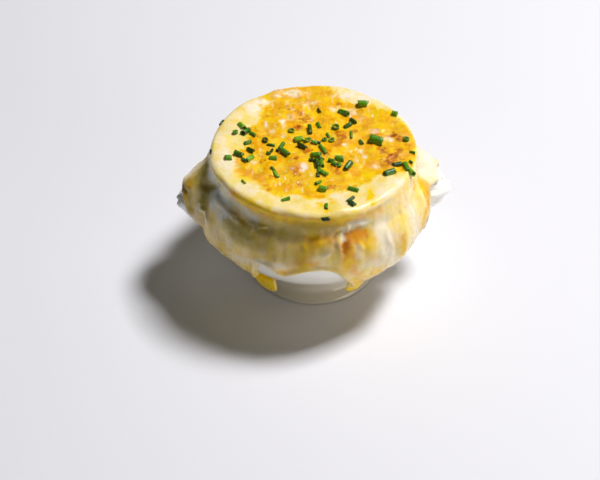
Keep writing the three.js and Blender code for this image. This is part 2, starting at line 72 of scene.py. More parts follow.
# Features of the face, alike on both sides of the nose: across, up, width, height, out.
FACE = {
    "brow": (4.2, 5.2, 3.4, 3, 1.8), "inner brow": (2.2, 4, 1.2, 1.5, 0.7),
    "eye socket": (4.4, 1.6, 2.3, 1.9, -2.3), "eye": (4.4, 1.5, 1.15, 0.85, 1.5),
    "upper lid": (4.4, 2.5, 2.1, 0.45, 0.6), "lower lid": (4.5, 0.5, 1.9, 0.4, 0.45),
    "bridge of the nose": (0, 2.4, 1.7, 3.4, 1.6), "nose": (0, -2.6, 2.4, 1.5, 2.4),
    "nostril": (1.35, -3.5, 0.6, 0.45, -1.1), "muzzle": (3, -5.6, 2.9, 2.6, 2.8),
    "lip groove": (0, -5.9, 0.5, 1.9, -1), "mouth": (0, -9.2, 2.6, 0.8, -1.8),
    "mouth corner": (3, -8.9, 1.5, 0.7, -1), "chin": (0, -12, 2.6, 2, 1.9),
    "cheek": (7.4, -3.6, 3.2, 3.2, 0.8), "ear": (10.2, 10.2, 2.7, 2.7, 2.4),
    "ear hollow": (10.2, 10, 1.1, 1.3, -1.5), "forehead furrow": (0, 8.2, 0.7, 2.4, -0.7),
}

CRUST = Sizes(z=89.2, first_r=1.2, flat_r=38, lip_from_r=53)
LIP = Sizes(r=54.7, z=86.5, round=3.6)
# Low puffs in the crust: x, y, width, up.
PUFFS = [
    (-8, -11, 13, 0.9), (17, 12, 12, 0.9), (-22, 24, 14, 0.9), (38, -6, 11, 0.8),
    (6, 40, 12, 0.7), (-31, -17, 11, 0.6), (14, -33, 12, 0.6),
]
# Where the lip leans out: angle, half width, out.
LEANS = [(-165, 40, 1.2), (-75, 18, 0.5), (-20, 22, -0.5), (70, 25, 0.5)]

SHEET = Sizes(thick=2.3, top_z=82, end_z=22, edge_z=31)
BURIED = Sizes(wall=2, head=3.4)
# Waves of the sheet's thickness: round, down, out; and of its edge: round, phase, up.
RIPPLES = [(6, 0.12, 0.25), (11, -0.15, 0.2)]
EDGE_RIPPLES = [(7, 0, 1.6), (13, 50, 1.1), (23, 10, 0.7), (37, 80, 0.55), (61, 200, 0.4), (97, 20, 0.25)]
TENT = Sizes(lip_r=57.6, lip_z=85.5, across=15, cover=3.4, reach=26, blend=2, fall=0.9)
TENTS = [
    Sizes(at=0, brow_r=71.6, brow_z=67, sag=24),
    Sizes(at=180, brow_r=75.3, brow_z=67.6, sag=15),
]
# How the sheet spans the bowl's neck, almost taut from lip to belly, and where: angle, half width, share.
SPAN = Sizes(top_r=58.2, top_z=86.5, end_r=66.2, end_z=62, sag=0.8)
SPANS = [(-42, 36, 1), (-95, 20, 0.5), (-120, 22, 0.5), (58, 34, 0.8), (128, 24, 0.6)]
# Where the sheet's edge is pulled up and bares the bowl, or ran further down: angle, half width, z.
NOTCHES = [
    (0, 13, 66), (-12, 7, 67), (-104, 21, 44), (-93, 17, 55.5), (-119.5, 9, 55), (180, 20, 61),
    (17, 9, 56), (44, 10, 47), (78, 13, 55), (112, 9, 45), (139, 11, 54),
]
TONGUES = [(-141, 11.5, 26), (-61.5, 13.5, 26), (62, 8, 27), (126, 9, 24)]
# Folds of the sheet, as lines from one angle and height to another: line, width, out.
FOLDS = [
    (-156, 80, -157, 48, 5, 1.4), (-150, 75, -127, 74.5, 4, 0.9), (-94, 69, -78, 77.5, 4.5, 1.3),
    (-78, 77.5, -66, 80, 4.5, 1), (-81, 62, -73, 73, 5, 1.1), (-49, 70, -46, 48, 5, 0.9),
    (-26, 76, -23, 48, 5, 1.1), (-116, 58, -100, 60, 5, 0.8), (30, 78, 34, 48, 5, 1.2),
    (60, 78, 66, 50, 5, 1.2), (86, 70, 106, 76, 4.5, 1.2), (122, 76, 118, 44, 5, 1.2),
    (152, 78, 149, 50, 5, 1.2),
]
# Broad swellings of the sheet: angle, half width, z, tall, out.
SWELLS = [(-141, 12, 36, 10, 0.2), (-160, 16, 46, 14, 0.5), (-60, 20, 40, 14, 0.8), (50, 26, 60, 16, 0.9),
          (100, 22, 64, 14, 0.8)]
# Drips that hang free below the sheet: angle and height of the root, and of the tip, and width.
DRIPS = [((-128.8, 30), (-126, 17.5), 15.5), ((-70.4, 35.5), (-73, 26), 11), ((62, 35), (61, 21), 9),
         ((126, 34), (127, 19), 8)]
DRIP = Sizes(thick=2.1, thinning=0.6, inwards=2, root_in=1, root_up=0.1, rows=19, sectors=32)

# Cut chives: x, y, angle (None if it stands on an end), length, thickness, and how light its green is.
CHIVES = [
    (-40, 20.5, -60, 5.5, 2.7, 0.8), (-38, 15.5, 45, 5.8, 3.3, 0.3), (-34, 13.5, -40, 4.2, 2.3, 0.4),
    (-37.5, 6.5, 20, 4.4, 2.4, 0.5), (-36, -0.5, -45, 4.7, 2.7, 0.05), (-43, -4, -30, 5.9, 3.2, 0.15),
    (-49, -7, 0, 4.2, 3.1, 0.6), (-40, -8.5, -45, 3.6, 2.4, 0.15), (-37, -8, 45, 5.4, 2.7, 0.7),
    (-24.5, 3.5, -15, 4.8, 1.7, 0.25), (-24.5, -2, 65, 3.3, 1.5, 0), (-26.5, -4.5, -35, 2.5, 2, 0.3),
    (-24, -8.5, -5, 4.2, 2.8, 0.45), (-18.5, 2, 60, 5.8, 2.1, 0.3), (-21, -2, -35, 2.2, 1.9, 0.05),
    (-17, -4.5, -50, 6.2, 3.5, 0.4), (-25, -18.5, -60, 3.2, 1.9, 0.35), (-23.5, -22.5, -70, 5.1, 2.4, 0.7),
    (-41.5, -28, -60, 3.6, 1.6, 0.7), (5.5, 32, -75, 3.7, 2, 0), (19.5, 28.5, -40, 6.8, 3.1, 0.35),
    (24, 20.5, -60, 4.8, 2.8, 0.15), (20.5, 16.5, 30, 5.2, 2.5, 0.25), (4, 19, -75, 4.7, 2, 0.4),
    (-1.5, 14, -90, 6.8, 2.6, 0.2), (-8.5, 6.5, 5, 5.4, 3, 0.8), (0, 2.5, -20, 3.7, 2, 0.55),
    (2.5, 2.5, -5, 2.3, 1.9, 0.15), (4, -1.5, -65, 4.6, 2.2, 0.4), (5, -5, -70, 4.7, 2.4, 0.5),
    (-7, 0, -45, 6, 3, 0.05), (8.5, 9, -75, 3.7, 1.6, 0.3), (21.5, 7.5, -95, 5.4, 1.6, 0.4),
    (26.5, 1, -75, 3.8, 2, 0.35), (0, -8.5, -10, 5.9, 3.2, 0.45), (2.5, -12, -25, 3.4, 2.4, 0.2),
    (-0.5, -16.5, -85, 6.1, 2.9, 0.15), (2.5, -16, -90, 5.8, 2.7, 0.5), (8, -14, -25, 3.6, 2.5, 0.25),
    (9.5, -17, -35, 3.2, 2.4, 0.35), (13, -12, -20, 4.8, 3.5, 0.55), (12, -17.5, -95, 3.9, 2.3, 0.4),
    (17, -19, 55, 6.2, 3.4, 0.2), (0.5, -21.5, -90, 4.1, 2.1, 0.45), (-0.5, -25, -90, 3.3, 1.8, 0.2),
    (3, -24, -45, 5, 2.9, 0.65), (-1, -31.5, 35, 4, 2, 0.5), (1, -37.5, -20, 5, 3.2, 0.6),
    (17.5, -39, -25, 6.4, 2.4, 0.5), (15, -47, 35, 5.6, 2, 0.1), (15.5, -51, -50, 4.1, 2.7, 0.05),
    (1.5, -51.5, -95, 4.2, 1.9, 0.45), (-19.5, -44, 15, 5, 2, 0.5), (31.5, 35, -10, 6.1, 4, 0.65),
    (48.5, 24, -25, 3.8, 2.8, 0.65), (35, 1, -25, 8.1, 5, 0.5), (54, -11, -30, 3.4, 1.5, 0.4),
    (44, -20, 10, 5.4, 2.8, 0.1), (39, -27, 20, 7.4, 3.4, 0.2), (49, -22.5, -80, 7.9, 2.8, 0.55),
    (51, -26.5, -65, 5.2, 3, 0.75), (52, -19, -50, 2.5, 1.6, 0.3), (0.5, -58.3, 0, 4.8, 2.6, 0.1),
    (-58.1, 1.5, 90, 3.6, 2.4, 0.1), (-51.2, 26, 60, 5, 1.6, 0.15), (-44, 15, None, 2.1, 3, 0.55),
    (-27.5, 7.5, None, 1.5, 3.6, 0), (-12, 14.5, None, 1.5, 3.6, 0.4), (13.5, 15.5, None, 1.8, 4.2, 0.45),
    (-3.5, 5, None, 1.5, 3.8, 0.45), (6, 5, None, 1.5, 3, 0.35), (10, 4.5, None, 1.5, 3.6, 0.5),
    (-3, -13, None, 1.5, 2.7, 0), (52, 0.5, None, 2.1, 3.4, 0.45),
]

# ---- small helpers


def bump(distance, width):
    return np.exp(-((distance / width) ** 2))


def plateau(distance, width):
    """A bump with a flat top and steep sides."""
    return np.exp(-(np.abs(distance / width) ** 3))


def turn(a, b):
    """Smallest turn between angles, in degrees, from -180 to 180."""
    return (a - b + 180) % 360 - 180


def mix(a, b, share):
    return a + (b - a) * share


def smooth(x, low, high):
    t = np.clip((x - low) / (high - low), 0, 1)
    return t * t * (3 - 2 * t)


def rounded_max(a, b, blend):
    """The larger of two lengths, rounded where they meet."""
    share = np.clip(0.5 + 0.5 * (b - a) / blend, 0, 1)
    return mix(a, b, share) + blend * share * (1 - share)


NOISE_TABLE = 32


def noise(points, size, seed):
    """Smooth noise from -1 to 1, with features of a size: one length, or one for each axis."""
    table = np.random.default_rng(seed).uniform(-1, 1, (NOISE_TABLE,) * 3)
    place = np.asarray(points) / size
    cell = np.floor(place).astype(int)
    share = smooth(place - cell, 0, 1)
    total = np.zeros(place.shape[:-1])
    for corner in np.ndindex(2, 2, 2):
        weight = np.prod(np.where(corner, share, 1 - share), axis=-1)
        i, j, k = np.moveaxis((cell + corner) % NOISE_TABLE, -1, 0)
        total += weight * table[i, j, k]
    return total


def noises(points, layers):
    """Sum of layers of noise, each given by its strength, size and seed."""
    return sum(strength * noise(points, size, seed) for strength, size, seed in layers)


def polar(radius, angle, z):
    """Points at a radius, an angle in degrees and a height."""
    a = np.radians(angle)
    return np.stack(np.broadcast_arrays(radius * np.cos(a), radius * np.sin(a), z), axis=-1)


def ring_faces(count, sectors):
    """Faces of a closed surface: a first point, rings of sectors and a last point."""
    j = np.arange(sectors)
    after = np.roll(j, -1)
    last = 1 + (count - 1) * sectors
    i = 1 + np.arange(count - 1)[:, None] * sectors
    quads = np.stack((i + j, i + sectors + j, i + sectors + after, i + after), axis=-1).reshape(-1, 4)
    top = np.stack((0 * j, 1 + j, 1 + after), axis=-1)
    end = np.stack((0 * j + last + sectors, last + after, last + j), axis=-1)
    return top.tolist() + quads.tolist() + end.tolist()


def add_object(name, data):
    made = bpy.data.objects.new(name, data)
    bpy.context.scene.collection.objects.link(made)
    return made


def mesh_object(name, points, faces):
    """An object of a smooth mesh given in millimetres."""
    mesh = bpy.data.meshes.new(name)
    mesh.from_pydata((np.asarray(points) * MM).tolist(), [], faces)
    mesh.update()
    mesh.shade_smooth()
    return add_object(name, mesh)


def closed_rings(name, first, rings, last):
    """An object of rings, by (ring, sector, xyz), between a first and a last point."""
    points = np.vstack((first, rings.reshape(-1, 3), last))
    return mesh_object(name, points, ring_faces(*rings.shape[:2]))


# ---- bowl


def bend(a, b, c, count=60):
    t = np.linspace(0, 1, count)[:, None]
    return (1 - t) ** 2 * np.array(a) + 2 * t * (1 - t) * np.array(b) + t**2 * np.array(c)


def arc(r, z, across, tall, start, end, count=200):
    t = np.linspace(start, end, count)
    return np.column_stack((r + across * np.cos(t), z + tall * np.sin(t)))


def evenly(line, count):
    """Points evenly spaced along a line."""
    along = np.concatenate(([0], np.cumsum(np.hypot(*np.diff(line, axis=0).T))))
    at = np.linspace(0, along[-1], count)
    return np.column_stack([np.interp(at, along, line[:, k]) for k in (0, 1)])


def outer_side():
    """Radius and height along the bowl's outer side, from the rim down to the waist."""
    ledge_angle = acos((LEDGE.r - SHOULDER.r) / SHOULDER.across)
    ledge_z = BELLY.z + SHOULDER.tall * sin(ledge_angle)
    join_angle = -acos(WAIST.join_r / BELLY.r)
    neck = (NECK.r, NECK.z)
    parts = (
        bend((RIM.r, RIM.z - RIM.round), (NECK.r, NECK.bend_z), neck),
        bend(neck, (NECK.r, LEDGE.bend_z), (LEDGE.r, ledge_z)),
        arc(SHOULDER.r, BELLY.z, SHOULDER.across, SHOULDER.tall, ledge_angle, 0),
        arc(0, BELLY.z, BELLY.r, BELLY.depth, 0, join_angle, count=600),
    )
    return evenly(np.vstack(parts), SIDE_SAMPLES)


SIDE_SAMPLES = 4000
SIDE = outer_side()
SIDE_SHARE = np.linspace(0, 1, SIDE_SAMPLES)
SIDE_LENGTH = np.hypot(*np.diff(SIDE, axis=0).T).sum()
SIDE_ALONG = np.gradient(SIDE, axis=0)
SIDE_ALONG /= np.hypot(*SIDE_ALONG.T)[:, None]


def side_point(share, out=0):
    """Radius and height at a share of the side, moved out along its normal."""
    r, z, along_r, along_z = (np.interp(share, SIDE_SHARE, c) for c in (*SIDE.T, *SIDE_ALONG.T))
    return r - along_z * out, z + along_r * out


def share_at_height(z):
    return np.interp(-np.asarray(z, float), -SIDE[:, 1], SIDE_SHARE)


def wall_radius(z):
    """Radius midway in the bowl's wall, at a height."""
    return side_point(share_at_height(z), -WALL / 2)[0]


def head_dome(side, rise):
    """How far a head's plain form stands out, at shares of its half width and height."""
    ring = np.minimum(np.hypot(side, rise), 1)
    lean = np.where(rise > 0, HEAD.lean_up, HEAD.lean_down)
    return HEAD.out * (1 - ring ** HEAD.flat) ** HEAD.round * (1 - lean * rise)


def head_relief(across, up):
    """How far the carved head stands out, at places across and up from its centre."""
    side, rise = across / HEAD.half_width, up / HEAD.half_height
    ring = np.hypot(side, rise)
    around = np.arctan2(up, across)
    locks = np.cos(MANE.locks * (around + MANE.twist * ring))
    hair = np.cos(HAIR.strands * (around + HAIR.twist * (ring - HAIR.start) ** 2))
    out = head_dome(side, rise) + MANE.out * locks * bump(ring - MANE.at, MANE.width)
    out = out + HAIR.out * hair * smooth(ring, HAIR.start, HAIR.start + HAIR.blend)
    for part_across, part_up, width, height, part_out in FACE.values():
        off = np.hypot((np.abs(across) - part_across) / width, (up - part_up) / height)
        out = out + part_out * bump(off, 1)
    return np.where(ring < 1, out * smooth(1 - ring, 0, HEAD.border), 0)


def rounded_corners(points, size, most=0.4):
    """A line with round corners of a size, or of a share of an edge at most."""
    points = [np.array(p, float) for p in points]
    line = [points[0][None]]
    for before, corner, after in zip(points, points[1:], points[2:]):
        edges = (before - corner, after - corner)
        start, end = (corner + edge * min(size / np.linalg.norm(edge), most) for edge in edges)
        line.append(bend(start, corner, end, count=5))
    return np.vstack((*line, points[-1][None]))


BOWL_PITCH = Sizes(head=0.36, plain=2.4, row=0.42, foot_row=1)
HEAD_ROWS = Sizes(top=79.5, end=40.5)
HEAD_TURN = 16.5


def bowl_angles():
    """Angles round the bowl, close together at the heads."""
    close = np.arange(-HEAD_TURN, HEAD_TURN, BOWL_PITCH.head)
    wide = np.arange(HEAD_TURN, 180 - HEAD_TURN, BOWL_PITCH.plain)
    half = np.concatenate((close, wide))
    return np.concatenate((half, half + 180))


def bowl_inside():
    """The line inside the bowl, from the middle of its floor up to the rim."""
    neck_r, belly_r = NECK.r - WALL, BELLY.r - WALL
    inside = arc(0, BELLY.z, belly_r, BELLY.z - FLOOR_Z, INSIDE.start, -pi / 2, count=60)[::-1]
    upper = [inside[-1], (neck_r + INSIDE.bend_r, NECK.z - INSIDE.bend_drop), (neck_r, NECK.z)]
    line = np.vstack((inside[:-1], rounded_corners([*upper, (neck_r, RIM.z - RIM.round)], INSIDE.round)))
    return evenly(line, INSIDE.rows)


def bowl_outside():
    """The line outside the bowl, from under the rim down to the waist."""
    z_rows = [RIM.z - RIM.round, HEAD_ROWS.top, HEAD_ROWS.end]
    shares = [*share_at_height(z_rows), 1]
    pitches = [BOWL_PITCH.foot_row, BOWL_PITCH.row, BOWL_PITCH.foot_row]
    rows = []
    for start, end, pitch in zip(shares, shares[1:], pitches):
        count = ceil((end - start) * SIDE_LENGTH / pitch)
        rows.append(np.linspace(start, end, count, endpoint=False))
    return np.column_stack(side_point(np.concatenate(rows)))


def bowl_foot():
    """The line down the waist, round the foot's ring and under it to the middle."""
    join_z = SIDE[-1, 1]
    corners = [
        (WAIST.join_r + 1.6, join_z + 0.9), (WAIST.r, join_z - 3), (WAIST.r, WAIST.z),
        (FLARE.r, FLARE.z), (FOOT.top_r, FOOT.top_z), (FOOT.r, FOOT.edge_z),
        (STAND.outer_r, 0), (STAND.inner_r, 0), (RECESS.r, RECESS.depth), (0, RECESS.depth),
    ]
    return rounded_corners(corners, WAIST.round)[1:]


def carve_heads(rings):
    """Moves the bowl's outer wall out along X by both heads' relief."""
    up = rings[..., 2] - HEAD.z
    relief = head_relief(rings[..., 1], up) - WALL / 2 * smooth(up, *FOREHEAD)
    rings[..., 0] += np.sign(rings[..., 0]) * np.maximum(relief, 0)


def make_bowl():
    angles = bowl_angles()
    inside, outside, foot = bowl_inside(), bowl_outside(), bowl_foot()
    rim_r, rim_z = RIM.r - RIM.round, RIM.z - RIM.round
    lip = arc(rim_r, rim_z, RIM.round, RIM.round, pi, 0, count=13)[1:-1]
    line = np.vstack((inside[1:], lip, outside, foot[:-1]))
    rings = polar(line[:, :1], angles[None], line[:, 1:])
    from_row = len(inside) - 1 + len(lip)
    carve_heads(rings[from_row : from_row + len(outside)])
    return closed_rings("bowl_glazed", (0, 0, inside[0, 1]), rings, (0, 0, RECESS.depth))


# ---- form of the cheese


def crust_height(x, y):
    """Height of the crust's top at a place in plan."""
    z = CRUST.z + sum(up * bump(np.hypot(x - px, y - py), width) for px, py, width, up in PUFFS)
    lip_z = LIP.z + LIP.round
    return mix(z, lip_z, smooth(np.hypot(x, y), CRUST.flat_r, CRUST.lip_from_r))


def lip_lean(angle):
    return sum(out * bump(turn(angle, at), half) for at, half, out in LEANS)


def edge_height(angle):
    """Height down to which the sheet runs, at an angle."""
    z = SHEET.edge_z
    for waves, phase, up in EDGE_RIPPLES:
        z = z + up * np.sin(np.radians(waves * angle + phase))
    for at, half, top in NOTCHES:
        z = z + np.maximum(0, top - z) * plateau(turn(angle, at), half)
    for at, half, low in TONGUES:
        z = z + np.minimum(0, low - z) * bump(turn(angle, at), half)
    return z


PER_DEGREE = radians(1) * BELLY.r


def from_line(angle, z, start_angle, start_z, end_angle, end_z):
    """Distance on the sheet, at the belly's radius, from places to a line, and share along it."""
    line = np.array([turn(end_angle, start_angle) * PER_DEGREE, end_z - start_z])
    across, up = turn(angle, start_angle) * PER_DEGREE, z - start_z
    share = np.clip((across * line[0] + up * line[1]) / (line @ line), 0, 1)
    return np.hypot(across - share * line[0], up - share * line[1]), share


def sheet_thickness(angle, z):
    thick = SHEET.thick
    for waves, down, out in RIPPLES:
        thick = thick + out * np.sin(np.radians(waves * angle) + down * z)
    for *line, width, out in FOLDS:
        thick = thick + out * bump(from_line(angle, z, *line)[0], width)
    for at, half, swell_z, tall, out in SWELLS:
        thick = thick + out * bump(np.hypot(turn(angle, at) / half, (z - swell_z) / tall), 1)
    return thick


def head_radius(angle, z, thick):
    """Radius of a plain head grown by thick, at an angle from it and a height; 0 beside it."""
    a = np.radians(angle)
    up = (z - HEAD.z) / (HEAD.half_height + thick)
    wall = wall_radius(z)
    radius = wall * np.ones_like(a)
    beside = np.zeros(radius.shape, bool)
    for _ in range(4):
        across = radius * np.sin(a)
        side = across / (HEAD.half_width + thick)
        beside |= np.hypot(side, up) >= 1
        out = np.sqrt(np.maximum(wall**2 - across**2, 0)) + head_dome(side, up) + thick
        radius = np.where(beside, radius, mix(radius, out / np.cos(a), 0.5))
    return np.where(beside, 0, radius)


def cover_radius(angle, z, thick, tent):
    """Radius of the sheet that hangs from the lip to a head's brow, and lies on the head."""
    head = head_radius(angle, z, thick)
    down = np.clip((TENT.lip_z - z) / (TENT.lip_z - tent.brow_z), 0, 1)
    reach = mix(TENT.lip_r, tent.brow_r, down) - TENT.fall * np.maximum(tent.brow_z - z, 0)
    across = reach * np.sin(np.radians(angle))
    hung = reach - tent.sag * down * (across / TENT.across) ** 2
    lies = np.where(z < tent.brow_z, head, np.minimum(head, reach))
    return rounded_max(hung, lies, TENT.blend)


COLUMNS = 540
CRUST_ROWS = 62
LIP_ROWS = 14
SHEET_ROWS = 100
LIP_TURN = (8, 128)
EDGE = Sizes(round=3.2, bead=0.5, bead_at=2.4, bead_width=1.3, dive=2.2, rise=0.8)
EDGE_STEP = 0.25
EDGE_ANGLES = np.arange(0, 360, EDGE_STEP)


def edge_lean():
    """Cosine of the slope of the sheet's edge, at each of EDGE_ANGLES."""
    z = edge_height(EDGE_ANGLES)
    slope = (np.roll(z, -1) - np.roll(z, 1)) / (2 * EDGE_STEP * PER_DEGREE)
    return 1 / np.hypot(1, slope)


EDGE_LEAN = edge_lean()


def in_from_edge(angle, z):
    """Distance in from the sheet's edge, negative beyond it."""
    lean = np.interp(angle % 360, EDGE_ANGLES, EDGE_LEAN, period=360)
    return (z - edge_height(angle)) * lean


def edge_profile(inwards):
    """Share of the sheet's thickness inside its edge, and of its burial beyond it."""
    inside = np.clip(inwards / EDGE.round, 0, 1)
    bead = EDGE.bead * bump(inwards - EDGE.bead_at, EDGE.bead_width)
    full = np.where(inwards > 0, (np.sqrt(1 - (1 - inside) ** 2) + bead) * smooth(inwards, 0, EDGE.rise), 0)
    return full, -np.clip(-inwards / EDGE.dive, 0, 1)


def span_out(r, angle, z):
    """How far cheese at a radius hangs out from the neck that it spans."""
    down = (SPAN.top_z - z) / (SPAN.top_z - SPAN.end_z)
    hung = mix(SPAN.top_r, SPAN.end_r, down) - 4 * SPAN.sag * down * (1 - down)
    share = np.minimum(1, sum(full * plateau(turn(angle, at), half) for at, half, full in SPANS))
    return np.where((down < 0) | (down > 1), 0, np.maximum(0, hung - r) * share)


def sheet_grid(angles):
    """Radius and height of the sheet's outer surface, by row and column."""
    start, end = share_at_height([SHEET.top_z, SHEET.end_z])
    shares = np.linspace(start, end, SHEET_ROWS)[:, None]
    z = side_point(shares)[1]
    full, buried = edge_profile(in_from_edge(angles[None], z))
    r, height = side_point(shares, sheet_thickness(angles[None], z) * full + BURIED.wall * buried)
    r = r + np.clip(full, 0, 1) * span_out(r, angles[None], height)
    for tent in TENTS:
        near = np.abs(turn(angles, tent.at)) < TENT.reach
        thick = TENT.cover * full[:, near] + BURIED.head * buried[:, near]
        cover = cover_radius(turn(angles[None, near], tent.at), height[:, near], thick, tent)
        r[:, near] = rounded_max(r[:, near], cover, TENT.blend)
    return r, height


def cheese_rings():
    """The cheese's outer surface: out over the crust, round the lip and down the sheet."""
    angles = np.linspace(-180, 180, COLUMNS, endpoint=False)
    radii = np.linspace(CRUST.first_r, CRUST.lip_from_r, CRUST_ROWS)[:, None]
    crust = polar(radii, angles[None], 0)
    crust[..., 2] = crust_height(crust[..., 0], crust[..., 1])
    rounds = np.radians(np.linspace(*LIP_TURN, LIP_ROWS))[:, None]
    lip_r = LIP.r + lip_lean(angles[None]) + LIP.round * np.sin(rounds)
    lip_z = LIP.z + LIP.round * np.cos(rounds)
    lip = polar(lip_r + span_out(lip_r, angles[None], lip_z), angles[None], lip_z)
    sheet_r, sheet_z = sheet_grid(angles)
    return np.concatenate((crust, lip, polar(sheet_r, angles[None], sheet_z)))


# ---- relief of the cheese

# Radius out to which the crust is golden and blistered, at angles round it.
GOLDEN_EDGE = {
    -180: 42, -165: 48, -157: 49, -150: 45, -140: 45, -130: 48, -121: 45.5, -106: 43.5, -97: 44.5, -84: 40,
    -60: 39, -48: 42, -41: 43.5, -36: 49, -29: 53, -20: 58, 10: 58, 20: 54.5, 40: 51.5, 48: 47, 60: 43,
    68: 47, 76: 52, 88: 58, 113: 57, 121: 53, 128: 45, 136: 39, 160: 38, 170: 40,
}
# How the golden edge wanders, as layers of noise: strength, size, seed; and where the cream fades inside it.
GOLDEN_WANDER = [(2.6, 8, 11), (1.8, (2.6, 5, 1), 12)]
GOLDEN_FADE = (-3.5, 4)
BLISTERS = Sizes(count=520, seed=7, smallest=0.8, largest=2.8, up=0.3, within_r=56, sunk=1.2)
# Layers of noise in the relief: strength, size, seed.
GOLDEN_GRAIN = [(0.1, 1.9, 1), (0.4, 4.5, 2)]
SHEET_GRAIN = [(0.45, (4.5, 4.5, 15), 4), (0.2, (2, 2, 5), 5), (0.35, 8, 6)]
LIP_GRAIN = [(0.5, (9, 9, 14), 8), (0.16, 3, 9)]
# The crust's broad noise, and how much calmer and lower its golden part is.
CRUST_BASE = Sizes(up=0.55, size=9, seed=3, calm=0.4, drop=0.4)
# Dents of the sheet are no deeper than this over the heads, within so many degrees of their middles.
HEAD_DENT = Sizes(least=-0.2, half=22)
EDGE_CALM = 3
LIP_FROM_Z = (80, 84)


def golden_share(x, y):
    """1 where the crust is golden, 0 on its cream border."""
    edge = np.interp(np.degrees(np.arctan2(y, x)), list(GOLDEN_EDGE), list(GOLDEN_EDGE.values()), period=360)
    edge = edge + noises(np.stack((x, y, 0 * x), axis=-1), GOLDEN_WANDER)
    return smooth(edge - np.hypot(x, y), *GOLDEN_FADE)


def blister_relief(x, y):
    """Small bubbles of the crust, some of them sunk in at the top."""
    rng = np.random.default_rng(BLISTERS.seed)
    total = np.zeros_like(x)
    for _ in range(BLISTERS.count):
        away, around = BLISTERS.within_r * sqrt(rng.random()), rng.random() * tau
        width = mix(BLISTERS.smallest, BLISTERS.largest, rng.random() ** 2)
        sunk = rng.random() * BLISTERS.sunk
        off = np.hypot(x - away * cos(around), y - away * sin(around))
        near = off < 3 * width
        up = BLISTERS.up * width**0.6
        total[near] += up * (bump(off[near], width) - sunk * bump(off[near], 0.5 * width))
    return total


TOP = Sizes(low_z=84, high_z=88, fall=0.9)


def top_share(x, y, z):
    """1 on the crust and the lip's crown, 0 on the side."""
    return smooth(z - TOP.fall * np.maximum(np.hypot(x, y) - LIP.r, 0), TOP.low_z, TOP.high_z)


# Narrow ridges and creases of the sheet, as lines from one angle and height to another: width, out.
CREASES = [
    (-177, 71, -171, 66, 3.2, 0.5), (-161, 75.8, -150, 74.3, 0.9, 0.6), (-153, 74.4, -140, 74.4, 0.9, 0.7),
    (-144, 74.4, -134, 74.9, 0.9, 0.6), (-133, 76, -118, 77, 0.9, 0.4), (-165.6, 65, -164.6, 52, 0.9, 0.6),
    (-165.4, 65.5, -158, 56.5, 1.1, 0.9), (-150.4, 63.6, -148.6, 53.3, 0.8, 0.6),
    (-163, 63, -159, 57.5, 0.7, -0.6), (-170, 70, -167.5, 62, 1.2, 0.6), (-94.5, 69, -87, 74.5, 1, -0.7),
    (-87, 74.5, -80, 79.5, 1, -0.6), (-92, 66, -85, 71.5, 1.8, 0.8), (-85, 71.5, -79.5, 76, 1.8, 0.8),
    (-75.6, 82, -66.8, 81.6, 0.9, -0.5), (-75.6, 80, -66.8, 79.6, 1.2, 0.4),
    (-77, 83.1, -77.4, 77.5, 0.9, 0.5), (-80, 79, -81, 72, 1, -0.5), (-74.5, 74, -71, 66, 1.4, 0.6),
    (-84, 76, -82, 66, 1.3, 0.6), (-88, 68, -86, 60, 1.2, -0.4), (-100, 78, -99, 66, 1.4, 0.4),
    (-112, 74, -110, 60, 1.4, -0.4), (-58, 76, -55, 58, 1.6, 0.5), (-44, 78, -46, 60, 1.4, 0.5),
    (-35, 76, -37, 58, 1.4, -0.5), (-20, 74, -26, 56, 1, 0.6), (30, 78, 34, 60, 1.3, 0.6),
    (52, 76, 50, 58, 1.3, -0.5), (72, 78, 76, 60, 1.3, 0.6), (95, 78, 92, 60, 1.3, -0.5),
    (118, 78, 122, 58, 1.3, 0.6), (146, 78, 150, 60, 1.3, 0.6),
]


CREASE_WANDER = Sizes(up=0.9, turn=1, size=6)


def crease_relief(points, angle):
    """Height of the creases, which wander a little and taper to their ends."""
    z = points[..., 2] + CREASE_WANDER.up * noise(points, CREASE_WANDER.size, 31)
    angle = angle + CREASE_WANDER.turn * noise(points, CREASE_WANDER.size, 32)
    total = np.zeros_like(z)
    for *line, width, out in CREASES:
        away, share = from_line(angle, z, *line)
        total += out * (1 - (2 * share - 1) ** 4) * bump(away, width)
    return total


def relief(points):
    """How far the cheese's surface is moved out along its normal."""
    x, y, z = np.moveaxis(points, -1, 0)
    angle = np.degrees(np.arctan2(y, x))
    top = top_share(x, y, z)
    golden = golden_share(x, y)
    crust = golden * (blister_relief(x, y) + noises(points, GOLDEN_GRAIN))
    broad = CRUST_BASE.up * noise(points, CRUST_BASE.size, CRUST_BASE.seed)
    crust = crust + (1 - CRUST_BASE.calm * golden) * broad - CRUST_BASE.drop * golden
    hang = noises(points, SHEET_GRAIN) + crease_relief(points, angle)
    heads = sum(bump(turn(angle, tent.at), HEAD_DENT.half) for tent in TENTS)
    hang = mix(hang, np.maximum(hang, HEAD_DENT.least), heads)
    hang = hang * smooth(in_from_edge(angle, z), 0, EDGE_CALM)
    side = mix(hang, noises(points, LIP_GRAIN), smooth(z, *LIP_FROM_Z))
    return mix(side, crust, top)


def normals(rings):
    around = np.roll(rings, -1, axis=1) - np.roll(rings, 1, axis=1)
    out = np.cross(np.gradient(rings, axis=0), around)
    return out / np.linalg.norm(out, axis=-1, keepdims=True)


